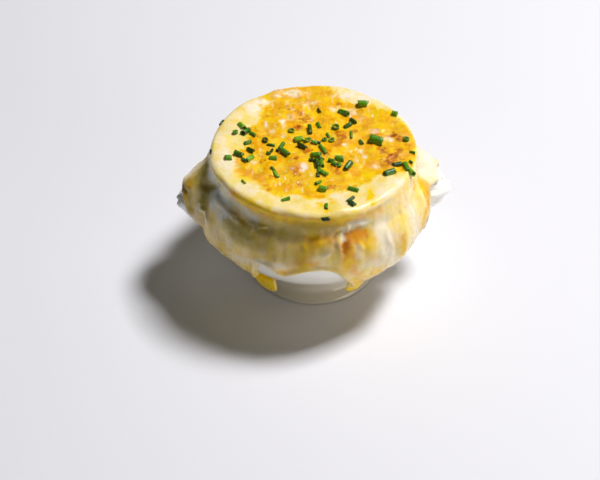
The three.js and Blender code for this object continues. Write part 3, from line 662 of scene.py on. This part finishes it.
def drip_object(root, tip, width):
    """A drip that hangs from the sheet: broad where it leaves it, round at its tip."""
    root_r = side_point(share_at_height(root[1]), SHEET.thick / 2)[0]
    down = np.sin(np.linspace(0, pi / 2, DRIP.rows, endpoint=False))[:, None]
    turned = np.linspace(0, tau, DRIP.sectors, endpoint=False)[None]
    half = width / 2 * np.sqrt(1 - down**3)
    thick = DRIP.thick - DRIP.thinning * down
    across = half * np.sin(turned)
    out = root_r - DRIP.inwards * down**2 + thick * np.sqrt(1 - down**6) * np.cos(turned)
    angle = mix(root[0], tip[0], down) + np.degrees(np.arctan2(across, out))
    rings = polar(np.hypot(out, across), angle, mix(root[1], tip[1], down))
    first = polar(root_r - DRIP.root_in, root[0], root[1] + DRIP.root_up * (root[1] - tip[1]))
    last = polar(root_r - DRIP.inwards, tip[0], tip[1])
    return closed_rings("drip", first, rings, last)


def join_all(body, pieces):
    """Joins closed pieces to a body as one closed mesh."""
    group = bpy.data.collections.new("pieces")
    for piece in pieces:
        bpy.context.scene.collection.objects.unlink(piece)
        group.objects.link(piece)
    joint = body.modifiers.new("join", "BOOLEAN")
    joint.operation, joint.solver = "UNION", "MANIFOLD"
    joint.operand_type, joint.collection = "COLLECTION", group
    shown = body.evaluated_get(bpy.context.evaluated_depsgraph_get())
    mesh = bpy.data.meshes.new_from_object(shown)
    body.modifiers.clear()
    body.data = mesh
    for piece in pieces:
        bpy.data.objects.remove(piece)
    bpy.data.collections.remove(group)


def make_cheese():
    rings = cheese_rings()
    rings = rings + normals(rings) * relief(rings)[..., None]
    middle = rings[0].mean(axis=0)
    cheese = closed_rings("melted_cheese", middle, rings, (0, 0, (FLOOR_Z + RECESS.depth) / 2))
    join_all(cheese, [drip_object(*drip) for drip in DRIPS])
    cheese.data.shade_smooth()
    return cheese


# ---- colours of the cheese

# Marks on the crust, by layer: x, y, half widths across and in depth, strength. The second layer is milky
# cheese together with painted highlights on the lip's right front and beside a chive.
CRUST_MARKS = {"toast": [
    (-8, 17.5, 2.4, 2.8, 1.3), (14.4, 11.1, 3.8, 3.4, 0.9), (15.6, 6.4, 3.4, 3, 0.85),
    (12.8, 1.3, 3, 2.8, 0.75), (-6.5, 1.1, 3, 2.4, 0.55), (-4.1, -3.5, 2.4, 3.4, 0.9),
    (46.5, 6.5, 2.4, 2.8, 1.2), (48.3, 2.8, 2.2, 2.8, 1.1), (45.8, -6.8, 2.8, 2.8, 1.2),
    (37.3, -7, 3.4, 3.2, 0.9), (42.7, -12.7, 3.2, 3.2, 1.3), (46.4, -14.8, 2.6, 2.2, 1.2),
    (40.4, -17.7, 3, 4, 1.05), (7, 29.3, 3, 2.4, 0.35), (7.3, 45.5, 1.3, 1.3, 0.6),
    (-29.4, 4.8, 2.4, 1.6, 0.4), (-12, -10.7, 4, 2.2, 0.9), (-25.8, -25, 2, 2, 0.5),
    (-29.5, -22, 1.4, 1.6, 0.45), (-10.9, -31.3, 2.2, 2.6, 0.55), (9.4, -20.3, 2.4, 2.6, 1.1),
    (12.4, -18, 2, 1.6, 0.5), (-26, -2.6, 1.1, 1.3, 0.7), (4.6, -13, 3, 3, 0.35), (36.2, -28.5, 2, 1.3, 0.5),
    (-19.5, -21.3, 3.4, 3, 0.35), (13, 49, 3.6, 3, 0.35), (31, 16, 6, 4, 0.3), (22, 22, 3, 4, 0.25),
    (-20, -8, 3, 3, 0.3), (26, -10, 5, 3, 0.25), (52, -5, 2, 6, 0.5),
], "pale": [
    (-33, 38.5, 5, 5, 1.3), (-27, 43, 5, 3.4, 1.2), (-42, 28, 2.6, 2.4, 0.8), (-16.3, 21.9, 1.5, 4.6, 1),
    (-26.6, 21.8, 1.3, 3.6, 0.8), (-4, 30.2, 1.5, 4, 0.7), (-6.6, 48.6, 3, 2.4, 0.8),
    (-18.5, 47.7, 2, 3, 0.7), (-12.5, 41.4, 1.2, 3, 0.6), (-10, 35.4, 2.2, 1.6, 0.6),
    (-11.8, 27.1, 2.4, 2, 0.8), (24, 46, 8, 4, 1.1), (33.5, 41, 6, 5, 1.1), (15, 33.5, 3, 3, 0.6),
    (25, 30.6, 4, 3, 0.7), (28.6, 24.6, 3, 2, 0.5), (35.5, 10.2, 3.4, 2, 0.8), (42.7, 4, 2.6, 3.6, 0.9),
    (17.6, -0.9, 1.8, 2, 0.9), (25.5, -6, 2.4, 2.6, 0.6), (27.3, -10.6, 1.6, 3, 0.7),
    (22.3, -14.5, 1.8, 2.6, 0.6), (31.5, -19.5, 3, 3.4, 0.75), (-8.1, -18, 3, 2.8, 0.9),
    (-4, -24.5, 1.8, 2.4, 0.4), (-14.8, -18.3, 1.3, 1.6, 0.9), (-36, -11, 2.4, 3, 0.6),
    (-17, 11.9, 1.6, 2.4, 0.6), (-23, 15, 1.3, 3, 0.5), (3, 38, 2.6, 2, 0.5), (-31, -6, 1.4, 2, 0.6),
    (8, -29, 2, 1.4, 0.4), (-50, -10, 6, 17, 0.8), (-40, -34, 11, 8, 0.6), (-20, -50, 9, 3.5, 0.5),
    (7.5, -43.6, 3, 3, 0.7), (44, -37, 6, 5, 1.2), (36, -43, 6, 4, 1.1), (-10, 50, 10, 3, 0.9),
    (0, 40, 8, 3, 0.5),
], "lemon": [
    (-7.5, -43, 3.2, 2.6, 0.9), (-1.6, -49, 2.4, 2.2, 0.9), (2.6, -55, 3, 2.6, 0.9),
    (25, -44.5, 2.6, 4, 1.2), (27.5, -50.8, 3.4, 2, 1.2), (6, -34, 4, 3, 0.8), (27.5, -28.5, 5, 3, 0.7),
    (-29, -33.5, 3.4, 2.6, 0.9), (-45, -14.5, 3.4, 3.4, 0.7), (-39, -25, 4, 4, 0.8), (0, -50, 6, 3, 0.6),
    (38, 27, 5, 4, 0.8), (-4, 43, 4, 3, 0.7), (2, -17, 4, 4, 0.4), (20, -30, 5, 2.4, 0.6),
    (-35, -28, 3, 2, 0.5), (-41, -38, 4, 3, 0.6), (-46, 2, 2, 5, 0.5), (-34, -48, 4, 2, 0.6),
    (5, -47, 4, 3, 0.8), (-14, -37, 5, 3, 0.5), (-40.5, -42.5, 4.5, 2.4, 0.9), (-31, -49.5, 4.5, 2, 0.7),
]}
# Marks on the side, by layer, as lines from one angle and height to another: width, strength. The first
# layer is painted shade, a darker olive under the lip, across the front and over the left head. The fifth
# layer is milky cheese together with painted highlights on ridges and the lip, and painted light on the lit
# right side and lower front. The last layer is thin cheese over the bowl together with painted bluish
# reflections on wet folds.
SIDE_MARKS = {"olive": [
    (-176, 80, -167, 73, 5.5, 1), (-167, 73, -159, 63, 5.5, 1), (-172, 66, -168, 56, 4, 0.5),
    (-146, 72, -128, 70, 5.5, 1), (-138, 66, -120, 68, 6, 0.75), (-128, 76, -104, 78, 6, 0.8),
    (-104, 82, -86, 81.5, 4.5, 0.75), (-100, 71, -102, 62, 4, 0.4), (-146, 80, -136, 80, 3, 0.4),
    (-160, 58, -145, 56, 5, 0.4), (-125, 60, -100, 68, 5, 0.35), (-76, 79, -62, 75, 4, 0.55),
    (-98, 73, -84, 72, 4, 0.5), (-95, 69, -86, 69, 3.6, 0.5), (-178, 66, -173, 60, 5, 0.8),
    (90, 78, 140, 76, 6, 0.4),
], "toast": [
    (-176.8, 70, -174.3, 65, 2.2, 0.25), (-133, 87, -127, 86, 2.2, 0.3), (-90, 86, -84, 85.5, 1.3, 0.4),
    (-77, 76.6, -68.4, 74.5, 2.6, 0.5), (-68.8, 75.5, -69.5, 71.8, 1.7, 0.4),
    # A thin dark line from -93.6 to -87.6 degrees is painted shade along a crease.
    (-77.3, 75.5, -80.4, 68, 3, 0.5), (-78.6, 74, -80.6, 69, 1.5, 0.8), (-93.6, 71, -87.6, 73.8, 0.9, 0.35),
    (-104, 62.5, -103.5, 61.5, 0.9, 0.35), (-70, 38.4, -69.6, 37.6, 0.8, 0.8),
    (-118, 83.5, -106, 83.5, 1.4, 0.25), (62, 72, 66, 60, 2.8, 0.26), (116, 74, 120, 62, 3, 0.24),
    (140, 80, 146, 72, 2.8, 0.22), (92, 84, 100, 82, 2.4, 0.25), (30, 72, 32, 62, 2.2, 0.2),
], "golden": [
    (-70, 84, -58, 84, 3, 0.5), (-65, 73.5, -64.5, 71.5, 2.4, 0.6), (-78.6, 66, -79, 60, 4, 0.9),
    (-77, 76, -68.5, 73, 5, 1.1), (-79.4, 71, -78.4, 65, 3.4, 0.9), (-69, 75, -68.5, 67, 2, 0.8),
    (-75, 67, -70, 66, 3, 0.25), (-143, 88.5, -125, 86.8, 3.4, 1.3), (-138, 85.8, -116, 84.6, 3.4, 1),
    (-116, 85, -97, 84.8, 3.2, 0.9), (-97, 84.4, -76, 84.4, 3.2, 0.9), (-177, 70.5, -174, 64.5, 3.2, 1),
    (-96, 72, -90, 78, 5, 0.3), (-48, 64, -48.6, 59, 1.8, 0.55), (-48.8, 58, -48, 49.2, 2, 0.5),
    (-41.9, 74.7, -46, 68.8, 2, 0.1), (-26.6, 83, -27.8, 78.4, 1.2, 0.9), (130, 88, 137, 88, 1.4, 0.8),
    (-16.5, 75.5, -19.5, 69.4, 3, 1.2), (-19.6, 68, -21.5, 60.5, 2.6, 1.1),
    (-25, 61.5, -26.5, 55.4, 2.4, 1.1), (-27.7, 55.4, -24, 41, 2.4, 1), (-80, 57, -71, 45, 3.4, 0.4),
    (-70, 44, -58, 41, 3, 0.7), (-57.5, 46.8, -56.6, 46, 1.8, 1), (-127, 34, -127, 18, 7, 1),
    (-133.5, 54.3, -127.7, 52.7, 2.6, 0.35), (-98, 72, -102, 60, 5, 0.5), (-118, 52, -100, 58, 4, 0.4),
    (-150, 47, -140, 42, 4, 0.3), (-99, 75, -83, 73, 4.5, 0.7), (-101, 61, -94, 62, 2.5, 0.6),
    (-4, 74, 2, 72, 4, 0.2), (-75, 40, -72.5, 27, 5.5, 1.2), (14, 78, 18, 60, 2.4, 0.6),
    (40, 76, 42, 52, 3, 0.6), (76, 76, 80, 60, 4, 0.6), (104, 70, 100, 50, 3, 0.6),
    (130, 74, 128, 40, 3.4, 0.6), (160, 78, 156, 60, 2.4, 0.5), (62, 40, 61, 22, 5, 0.7),
    (126, 36, 127, 20, 5, 0.7),
], "lemon": [
    (-142, 54, -118, 60, 4, 0.35), (-128, 33, -126, 17, 8, 1.3), (-140, 87.5, -120, 86, 3, 0.9),
    (-120, 85.5, -80, 85, 2.6, 0.8), (-74, 39, -72, 26, 5.5, 1.2), (-98, 60, -96, 57, 3, 0.5),
    (-112, 58, -108, 55, 3, 0.4), (-62, 48, -56, 46, 2, 0.6), (62, 38, 61, 22, 5, 0.5),
    (126, 36, 127, 20, 5, 0.5),
], "pale": [
    # Thin lines along the ledge near 74.5 mm are a painted highlight on its ridge.
    (-159, 75.3, -151.7, 74.4, 0.8, 0.9), (-151.7, 74.4, -142.9, 74.4, 0.8, 0.9),
    (-142.9, 74.4, -136.5, 74.7, 0.8, 0.8), (-132, 76, -126, 74.8, 0.8, 0.5),
    (-126, 74.8, -120.4, 77.1, 0.8, 0.5), (-165.3, 63.7, -164.8, 53.6, 1, 0.9),
    (-165.4, 65.5, -158, 56.5, 1.1, 1), (-150.4, 63.6, -148.6, 53.3, 0.8, 0.8),
    (-77, 83.1, -77.4, 77.5, 1.2, 0.9), (-74, 69.5, -73, 64, 2.4, 0.55), (-141, 47, -124, 55, 3.6, 0.7),
    (-122, 56.5, -110, 59, 3.2, 0.9), (-64, 53, -50, 45, 4, 0.7), (-8, 76, 6, 74, 7, 1),
    (-8, 68, 8, 66, 6, 0.7), (-60.5, 74, -56, 57, 5.2, 1), (-60, 62, -52, 46, 5.5, 0.9),
    (-70, 55, -54, 50, 4.5, 0.6), (-170, 69, -167, 64, 1.6, 0.4), (-38, 72, -36, 50, 6, 0.8),
    (22, 74, 24, 56, 4, 0.5), (88, 72, 90, 58, 4, 0.4), (146, 72, 148, 54, 4, 0.5),
], "gray": [
    (-8, 77, 8, 75, 6, 0.35), (-169, 82, -157, 76.5, 3.6, 1), (-157, 78, -147, 74.5, 3.2, 0.9),
    (-153, 75, -149.5, 68, 2.6, 0.7), (-155, 84, -140, 82.5, 2.6, 0.6), (-140, 81, -128, 79.5, 2.6, 0.5),
    (-75.6, 80.5, -66.8, 79.9, 2.2, 0.6), (-91, 68, -84, 73, 2.4, 0.25),
    (-79.9, 80.3, -80.6, 74.3, 1.6, 0.7), (-176, 57, -166, 55, 3, 0.6), (-56, 76, -58, 57, 4, 0.5),
    (-163, 76, -156, 72, 3, 0.9),
]}
# Specks all over the golden crust: layer, strength, size, seed, and the noise where they begin and are full.
# The whitish specks are pale strings of cheese together with painted glints.
SPECKS = [("toast", 0.42, 6, 27, 0.1, 0.8), ("pale", 0.65, (1.1, 5, 4), 28, 0.4, 0.85)]
# Gold all over the side: its share, and the noise in it.
GILT = Sizes(share=0.16, noise=[(0.22, (6, 6, 16), 26)])
# How far marks wander, as strength and size of the noise, and a seed for each axis.
MARK_WANDER = [(1.3, 3, (21, 22, 23)), (0.7, 1.3, (24, 25, 26))]
THIN = Sizes(low=0.5, high=5, from_z=32)


def crust_marks(table, x, y):
    """Strongest of the marks on the crust at places."""
    spots = (
        full * bump(np.hypot((x - at_x) / across, (y - at_y) / deep), 1)
        for at_x, at_y, across, deep, full in table
    )
    return functools.reduce(np.maximum, spots)


def side_marks(table, angle, z):
    """Strongest of the marks on the side at places."""
    strokes = (full * bump(from_line(angle, z, *line)[0], width) for *line, width, full in table)
    return functools.reduce(np.maximum, strokes)


def paint(mesh, name, values):
    layer = mesh.attributes.new(name, "FLOAT", "POINT")
    layer.data.foreach_set("value", np.clip(values, 0, 1).astype(np.float32))


def paint_cheese(cheese):
    """Vertex layers for the cheese's material."""
    points = np.array([vertex.co for vertex in cheese.data.vertices]) / MM
    x, y, z = points.T
    angle = np.degrees(np.arctan2(y, x))
    top = top_share(x, y, z)
    golden = golden_share(x, y)
    wander = points
    for strength, size, seeds in MARK_WANDER:
        wander = wander + strength * np.stack([noise(points, size, seed) for seed in seeds], axis=-1)
    wx, wy, wz = wander.T
    wangle = np.degrees(np.arctan2(wy, wx))
    side = {name: side_marks(table, wangle, wz) for name, table in SIDE_MARKS.items()}
    side["golden"] += GILT.share + noises(points, GILT.noise)
    crust = {name: crust_marks(table, wx, wy) for name, table in CRUST_MARKS.items()}
    crust["golden"] = golden
    for name, strength, size, seed, low, high in SPECKS:
        specks = golden * strength * smooth(noise(points, size, seed), low, high)
        crust[name] = np.maximum(crust[name], specks)
    for name, on_side in side.items():
        paint(cheese.data, name, mix(on_side, crust.get(name, 0), top))
    paint(cheese.data, "top", top)
    thin = 1 - smooth(in_from_edge(angle, z), THIN.low, THIN.high)
    paint(cheese.data, "thin", thin * (1 - top) * (z > THIN.from_z))


# ---- chives

# sunk is the share of a chive's height that is in the crust, and trim what is left of a lying one's length.
CHIVE = Sizes(sides=18, rows=6, wall=0.4, standing_wall=0.75, wall_least=0.9, wall_most=1.3, chamfer=0.35,
              bulge=0.06, flat=0.2, slant=0.7, arch=0.12, tilt=0.2, sunk=0.25, trim=0.9, vary=0.15, seed=5)


def tube(radius, length, wall, shape):
    """Rings of a short hollow piece along X, squashed a little, with its ends cut aslant."""
    flat, slant_a, slant_b, arch, phase = shape
    turned = np.linspace(0, tau, CHIVE.sides, endpoint=False)
    along = np.linspace(-0.5, 0.5, CHIVE.rows)

    def ring(share, r):
        y, z = r * (1 + flat) * np.cos(turned), r * (1 - flat) * np.sin(turned)
        slant = mix(slant_a, slant_b, share + 0.5) * np.cos(turned + phase) * radius
        lift = arch * length * (0.25 - share**2)
        return np.stack((share * length + slant, y, z + lift), axis=-1)

    edge_r = radius - CHIVE.chamfer * wall
    end = 0.5 + CHIVE.bulge * wall
    outer = [ring(s, radius) for s in along]
    inner = [ring(s, radius - wall) for s in along[::-1]]
    return np.array([*outer, ring(end, edge_r), *inner, ring(-end, edge_r)])


def tube_faces(rows, sides):
    """Faces of rings joined in a loop, the last ring to the first."""
    j = np.arange(sides)
    i = np.arange(rows)[:, None]
    after_i, after_j = (i + 1) % rows, np.roll(j, -1)
    quads = (i * sides + j, i * sides + after_j, after_i * sides + after_j, after_i * sides + j)
    return np.stack(quads, axis=-1).reshape(-1, 4)


def top_height(x, y):
    """Height of the top at a place, with its relief and the lip's rounding."""
    past = min(max(hypot(x, y) - LIP.r, 0), LIP.round)
    z = float(crust_height(x, y)) - LIP.round + sqrt(LIP.round ** 2 - past**2)
    return z + float(relief(np.array([[x, y, z]]))[0])


def chive_pose(x, y, angle, lift, draw):
    """Matrix that sets a chive, made along X, in its place."""
    around, axis = (90, "Y") if angle is None else (angle, "Z")
    stance = Matrix.Rotation(radians(around), 4, axis)
    tilt = Matrix.Rotation(mix(-CHIVE.tilt, CHIVE.tilt, draw()), 4, "Y")
    place = Matrix.Translation((x, y, top_height(x, y) + lift))
    return place @ stance @ tilt @ Matrix.Rotation(draw() * tau, 4, "X")


def make_chives():
    draw = np.random.default_rng(CHIVE.seed).random
    parts = []
    for x, y, angle, length, thick, light in CHIVES:
        standing = angle is None
        length *= 1 if standing else CHIVE.trim
        slants = CHIVE.slant * (draw(2) - 0.5) * (0 if standing else 1)
        shape = (CHIVE.flat * draw(), *slants, CHIVE.arch * draw(), draw() * tau)
        wall = CHIVE.standing_wall if standing else CHIVE.wall
        rings = tube(thick / 2, length, wall * mix(CHIVE.wall_least, CHIVE.wall_most, draw()), shape)
        lift = (length if standing else thick) * (0.5 - CHIVE.sunk)
        pose = np.array(chive_pose(x, y, angle, lift, draw))
        placed = rings @ pose[:3, :3].T + pose[:3, 3]
        shade = np.full((*rings.shape[:2], 2), (light + CHIVE.vary * (draw() - 0.5), 0))
        shade[CHIVE.rows : -1, :, 1] = 1
        parts.append(np.concatenate((placed, shade), axis=-1))
    parts = np.array(parts)
    chives, rows, sides, _ = parts.shape
    faces = np.arange(chives)[:, None, None] * rows * sides + tube_faces(rows, sides)
    *points, lights, inners = parts.reshape(-1, 5).T
    made = mesh_object("cut_chives", np.transpose(points), faces.reshape(-1, 4).tolist())
    paint(made.data, "light", lights)
    paint(made.data, "inner", inners)
    return made


# ---- materials


class Nodes:
    """A material's node tree, with short ways to add and join nodes."""

    def __init__(self, name):
        self.material = bpy.data.materials.new(name)
        self.material.use_nodes = True
        self.tree = self.material.node_tree
        self.shader = self.tree.nodes["Principled BSDF"]
        self.place = self.add("TexCoord").outputs["Object"]

    def add(self, kind, inputs=None, **settings):
        node = self.tree.nodes.new("ShaderNode" + kind)
        for key, value in settings.items():
            setattr(node, key, value)
        for key, value in (inputs or {}).items():
            self.put(node.inputs[key], value)
        return node

    def put(self, socket, value):
        if isinstance(value, bpy.types.NodeSocket):
            self.tree.links.new(value, socket)
        elif socket.type == "RGBA":
            socket.default_value = (*value, 1)
        else:
            socket.default_value = value

    def layer(self, name):
        return self.add("Attribute", attribute_name=name).outputs["Fac"]

    def noise(self, size, detail=3, rough=0.5, place=None):
        """Noise from 0 to 1 with features of about a size in millimetres."""
        inputs = {"Vector": place or self.place, "Scale": 1 / (size * MM)}
        inputs |= {"Detail": detail, "Roughness": rough}
        return self.add("TexNoise", inputs).outputs["Fac"]

    def math(self, operation, a, b):
        return self.add("Math", {0: a, 1: b}, operation=operation).outputs[0]

    plus = functools.partialmethod(math, "ADD")
    times = functools.partialmethod(math, "MULTIPLY")

    def span(self, value, low, high, to_low=0, to_high=1):
        inputs = {"Value": value, "From Min": low, "From Max": high, "To Min": to_low, "To Max": to_high}
        return self.add("MapRange", inputs, interpolation_type="SMOOTHSTEP").outputs["Result"]

    def mix(self, share, a, b):
        """A colour between two others."""
        return self.add("Mix", {0: share, 6: a, 7: b}, data_type="RGBA").outputs[2]

    def blend(self, share, a, b):
        """A number between two others."""
        return self.add("Mix", {0: share, 2: a, 3: b}).outputs[0]

    def bump(self, height, depth, strength, **normal):
        """Bump of a height from 0 to 1 that is so many millimetres deep."""
        inputs = {"Height": height, "Distance": depth * MM, "Strength": strength, **normal}
        return self.add("Bump", inputs).outputs["Normal"]

    def finish(self, **values):
        for key, value in values.items():
            self.put(self.shader.inputs[key.replace("_", " ")], value)
        return self.material


CREAM = (0.97, 0.73, 0.19)
IVORY = (1, 0.8, 0.44)
FRINGE = (0.96, 0.66, 0.02)
YELLOW = (0.96, 0.58, 0.003)
ORANGE = (0.89, 0.4, 0.001)
LEMON_YELLOW = (0.96, 0.63, 0.004)
BUBBLE = (0.98, 0.7, 0.06)
AMBER = (0.62, 0.19, 0.001)
BROWN = (0.27, 0.055, 0.001)
# Painted shade: a darker olive tan for cheese where shade falls.
PAINTED_SHADE_TAN = (0.35, 0.26, 0.025)
# Milky cheese, also used as painted highlight and painted light.
MILKY_AND_PAINTED_LIGHT = (1, 0.86, 0.66)
# Bluish thin cheese over the bowl, also used as painted reflection on wet folds.
SHEER_AND_REFLECTION = (0.74, 0.79, 0.82)
EDGE_CREAM = (0.78, 0.66, 0.36)


def cheese_material():
    m = Nodes("melted_cheese")
    layers = "golden lemon toast pale olive gray thin top".split()
    golden, lemon, toast, pale, olive, gray, thin, top = map(m.layer, layers)
    coarse, middle, fine, speck = m.noise(7, 2), m.noise(3.2, 2), m.noise(1.5, 3, 0.55), m.noise(0.7, 2)
    hung = m.add("Mapping", {"Vector": m.place, "Scale": (1, 1, 0.3)}).outputs[0]
    streaks = m.span(m.noise(5, 2, 0.5, hung), 0.3, 0.7, -0.12, 0.12)
    speckle = m.times(m.span(fine, 0.3, 0.7, -0.25, 0.25), m.span(golden, 0, 0.35, 0.15, 1))
    mottle = m.blend(top, streaks, speckle)
    gold = m.mix(m.span(m.plus(coarse, m.times(mottle, 0.3)), 0.36, 0.66), YELLOW, ORANGE)
    bubbles = m.times(m.span(middle, 0.54, 0.72), top)
    gold = m.mix(m.times(bubbles, 0.6), gold, BUBBLE)
    cream = m.mix(m.span(m.noise(7), 0.35, 0.65), CREAM, IVORY)
    gilt = m.plus(golden, mottle)
    color = m.mix(m.times(m.span(gilt, 0, 0.45), top), cream, FRINGE)
    color = m.mix(m.blend(top, m.span(gilt, 0, 1), m.span(gilt, 0.3, 0.8)), color, gold)
    lemon = m.times(lemon, m.span(middle, 0.35, 0.65, 0.6, 1.5))
    color = m.mix(m.span(lemon, 0.1, 0.9), color, LEMON_YELLOW)
    color = m.mix(m.times(thin, 0.6), color, EDGE_CREAM)
    # Painted shade under the lip, across the front and over the left head.
    color = m.mix(m.times(olive, 0.95), color, PAINTED_SHADE_TAN)
    # Thin cheese over the bowl, with painted bluish reflections on wet folds.
    color = m.mix(gray, color, SHEER_AND_REFLECTION)
    crumbs = m.plus(1, m.times(m.span(m.noise(2.1, 4, 0.7), 0.32, 0.68, -0.8, 0.6), top))
    # Milky cheese, with painted highlights on ridges and the lip and painted light where the cheese is lit.
    patchiness = m.plus(1, m.times(m.span(middle, 0.32, 0.68, -0.4, 0.4), top))
    color = m.mix(m.span(m.times(pale, patchiness), 0.05, 1.1), color, MILKY_AND_PAINTED_LIGHT)
    burnt = m.times(toast, crumbs)
    color = m.mix(m.span(burnt, 0.12, 0.7), color, AMBER)
    color = m.mix(m.span(burnt, 0.7, 1.3, 0, 0.85), color, BROWN)
    rough = m.span(m.noise(2.4), 0.3, 0.7, 0.22, 0.42)
    pits = m.bump(speck, 0.1, m.span(top, 0, 1, 0.1, 0.5))
    grain = m.bump(fine, 0.35, m.span(top, 0, 1, 0.08, 0.45), Normal=pits)
    wet = m.bump(m.noise(1.7, 3, 0.65), 0.9, m.span(golden, 0, 1, 0.2, 1.2), Normal=grain)
    return m.finish(
        Base_Color=color, Roughness=rough, Normal=grain, IOR=1.36, Specular_Tint=(1, 0.9, 0.55),
        Subsurface_Weight=0.3, Subsurface_Radius=(1, 0.55, 0.15), Subsurface_Scale=0.0018,
        Coat_Weight=m.span(top, 0, 1, 0.3, 0.45), Coat_Roughness=0.05, Coat_Normal=wet,
    )


def porcelain_material():
    m = Nodes("porcelain")
    z = m.add("SeparateXYZ", {"Vector": m.place}).outputs["Z"]
    low = m.math("LESS_THAN", z, 0.9 * MM)
    tint = m.mix(m.noise(30), (0.94, 0.92, 0.88), (0.96, 0.935, 0.89))
    # Warmer on the lower belly, as painted warm bounce light, and darker towards the foot, as painted shade
    # under the belly.
    tint = m.mix(m.span(z, 34 * MM, 54 * MM, 0.6, 0), tint, (0.95, 0.88, 0.74))
    tint = m.mix(m.span(z, 20 * MM, 32 * MM, 1, 0), tint, (0.72, 0.66, 0.55))
    bisque = m.mix(m.noise(0.5, 2), (0.7, 0.67, 0.62), (0.78, 0.76, 0.72))
    color = m.mix(low, tint, bisque)
    rough = m.blend(low, m.span(m.noise(12), 0.3, 0.7, 0.09, 0.16), 0.75)
    waves = m.bump(m.noise(9, 2), 0.12, 0.35)
    return m.finish(
        Base_Color=color, Roughness=rough, Normal=waves, IOR=1.52, Coat_Weight=0.3, Coat_Roughness=0.05,
        Subsurface_Weight=0.08, Subsurface_Radius=(1, 0.9, 0.8), Subsurface_Scale=0.002,
    )


def chive_material():
    m = Nodes("cut_chives")
    light, inner = m.layer("light"), m.layer("inner")
    patchy = m.plus(light, m.span(m.noise(1.2, 3), 0.3, 0.7, -0.15, 0.15))
    skin = m.mix(m.span(patchy, 0, 0.5), (0.01, 0.035, 0.003), (0.075, 0.25, 0.006))
    skin = m.mix(m.span(patchy, 0.45, 1), skin, (0.26, 0.5, 0.02))
    flesh = m.mix(light, (0.1, 0.18, 0.015), (0.42, 0.55, 0.09))
    color = m.mix(m.times(inner, 0.7), skin, flesh)
    veins = m.bump(m.noise(0.3, 2), 0.05, 0.6)
    return m.finish(
        Base_Color=color, Roughness=0.3, Normal=veins, IOR=1.42, Coat_Weight=0.4, Coat_Roughness=0.18,
        Subsurface_Weight=0.1, Subsurface_Radius=(0.5, 1, 0.25), Subsurface_Scale=0.0006,
    )


def floor_material():
    m = Nodes("pale_floor")
    tint = m.mix(m.noise(120, 2), (0.815, 0.815, 0.865), (0.83, 0.83, 0.88))
    return m.finish(Base_Color=tint, Roughness=0.6, Specular_IOR_Level=0.25)


# ---- stage, light and camera

CAMERA = Sizes(azimuth=-4.8, elevation=43.4, away=0.8, right=-0.00827, z=0.01684, lens=79.86, sensor=36)
# Soft boxes: azimuth from the camera's side to the right, elevation, distance, size, power and colour.
LIGHTS = {
    "key": (112, 63, 2, 0.45, 44.5, (1, 0.995, 1)),
    "fill": (45, 4, 1.3, 0.7, 5.2, (1, 0.94, 0.8)),
    "side_light": (-85, 10, 1.2, 0.5, 0.75, (0.85, 0.92, 1)),
}
LIGHTS_AIM = Vector((0, 0, 0.05))
SKY = Sizes(color=(1, 0.96, 0.64), strength=0.04)
FLOOR_HALF = 2000


def direction(azimuth, elevation):
    a, e = radians(azimuth), radians(elevation)
    return Vector((sin(a) * cos(e), -cos(a) * cos(e), sin(e)))


def make_camera():
    back = direction(CAMERA.azimuth, CAMERA.elevation)
    right = direction(CAMERA.azimuth + 90, 0)
    aim = right * CAMERA.right + Vector((0, 0, CAMERA.z))
    data = bpy.data.cameras.new("camera")
    data.lens, data.sensor_width = CAMERA.lens, CAMERA.sensor
    camera = add_object("camera", data)
    turned = Matrix((right, back.cross(right), back)).transposed().to_4x4()
    camera.matrix_world = Matrix.Translation(aim + back * CAMERA.away) @ turned
    bpy.context.scene.camera = camera


def make_light(name, azimuth, elevation, away, size, power, color):
    data = bpy.data.lights.new(name, "AREA")
    data.energy, data.size, data.color = power, size, color
    light = add_object(name, data)
    towards = direction(azimuth, elevation)
    light.location = towards * away + LIGHTS_AIM
    light.rotation_euler = towards.to_track_quat("Z", "Y").to_euler()


def make_stage():
    corners = np.array([(-1, -1, 0), (1, -1, 0), (1, 1, 0), (-1, 1, 0)])
    floor = mesh_object("floor", FLOOR_HALF * corners, [(0, 1, 2, 3)])
    floor.data.materials.append(floor_material())
    world = bpy.data.worlds.new("sky")
    world.use_nodes = True
    background = world.node_tree.nodes["Background"].inputs
    background["Color"].default_value = (*SKY.color, 1)
    background["Strength"].default_value = SKY.strength
    bpy.context.scene.world = world
    bpy.context.scene.view_settings.view_transform = "Standard"
    for name, settings in LIGHTS.items():
        make_light(name, *settings)


# ---- the object


def place_piece(piece, node, material):
    """Gives a piece its material, and lets it stand for a node of the model."""
    piece.data.materials.clear()
    piece.data.materials.append(material)
    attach(piece, "root")
    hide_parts(node)


make_camera()
make_stage()
bowl = make_bowl()
cheese = make_cheese()
paint_cheese(cheese)
chives = make_chives()
place_piece(bowl, "bowl", porcelain_material())
place_piece(cheese, "gratin", cheese_material())
place_piece(chives, "gratin", chive_material())
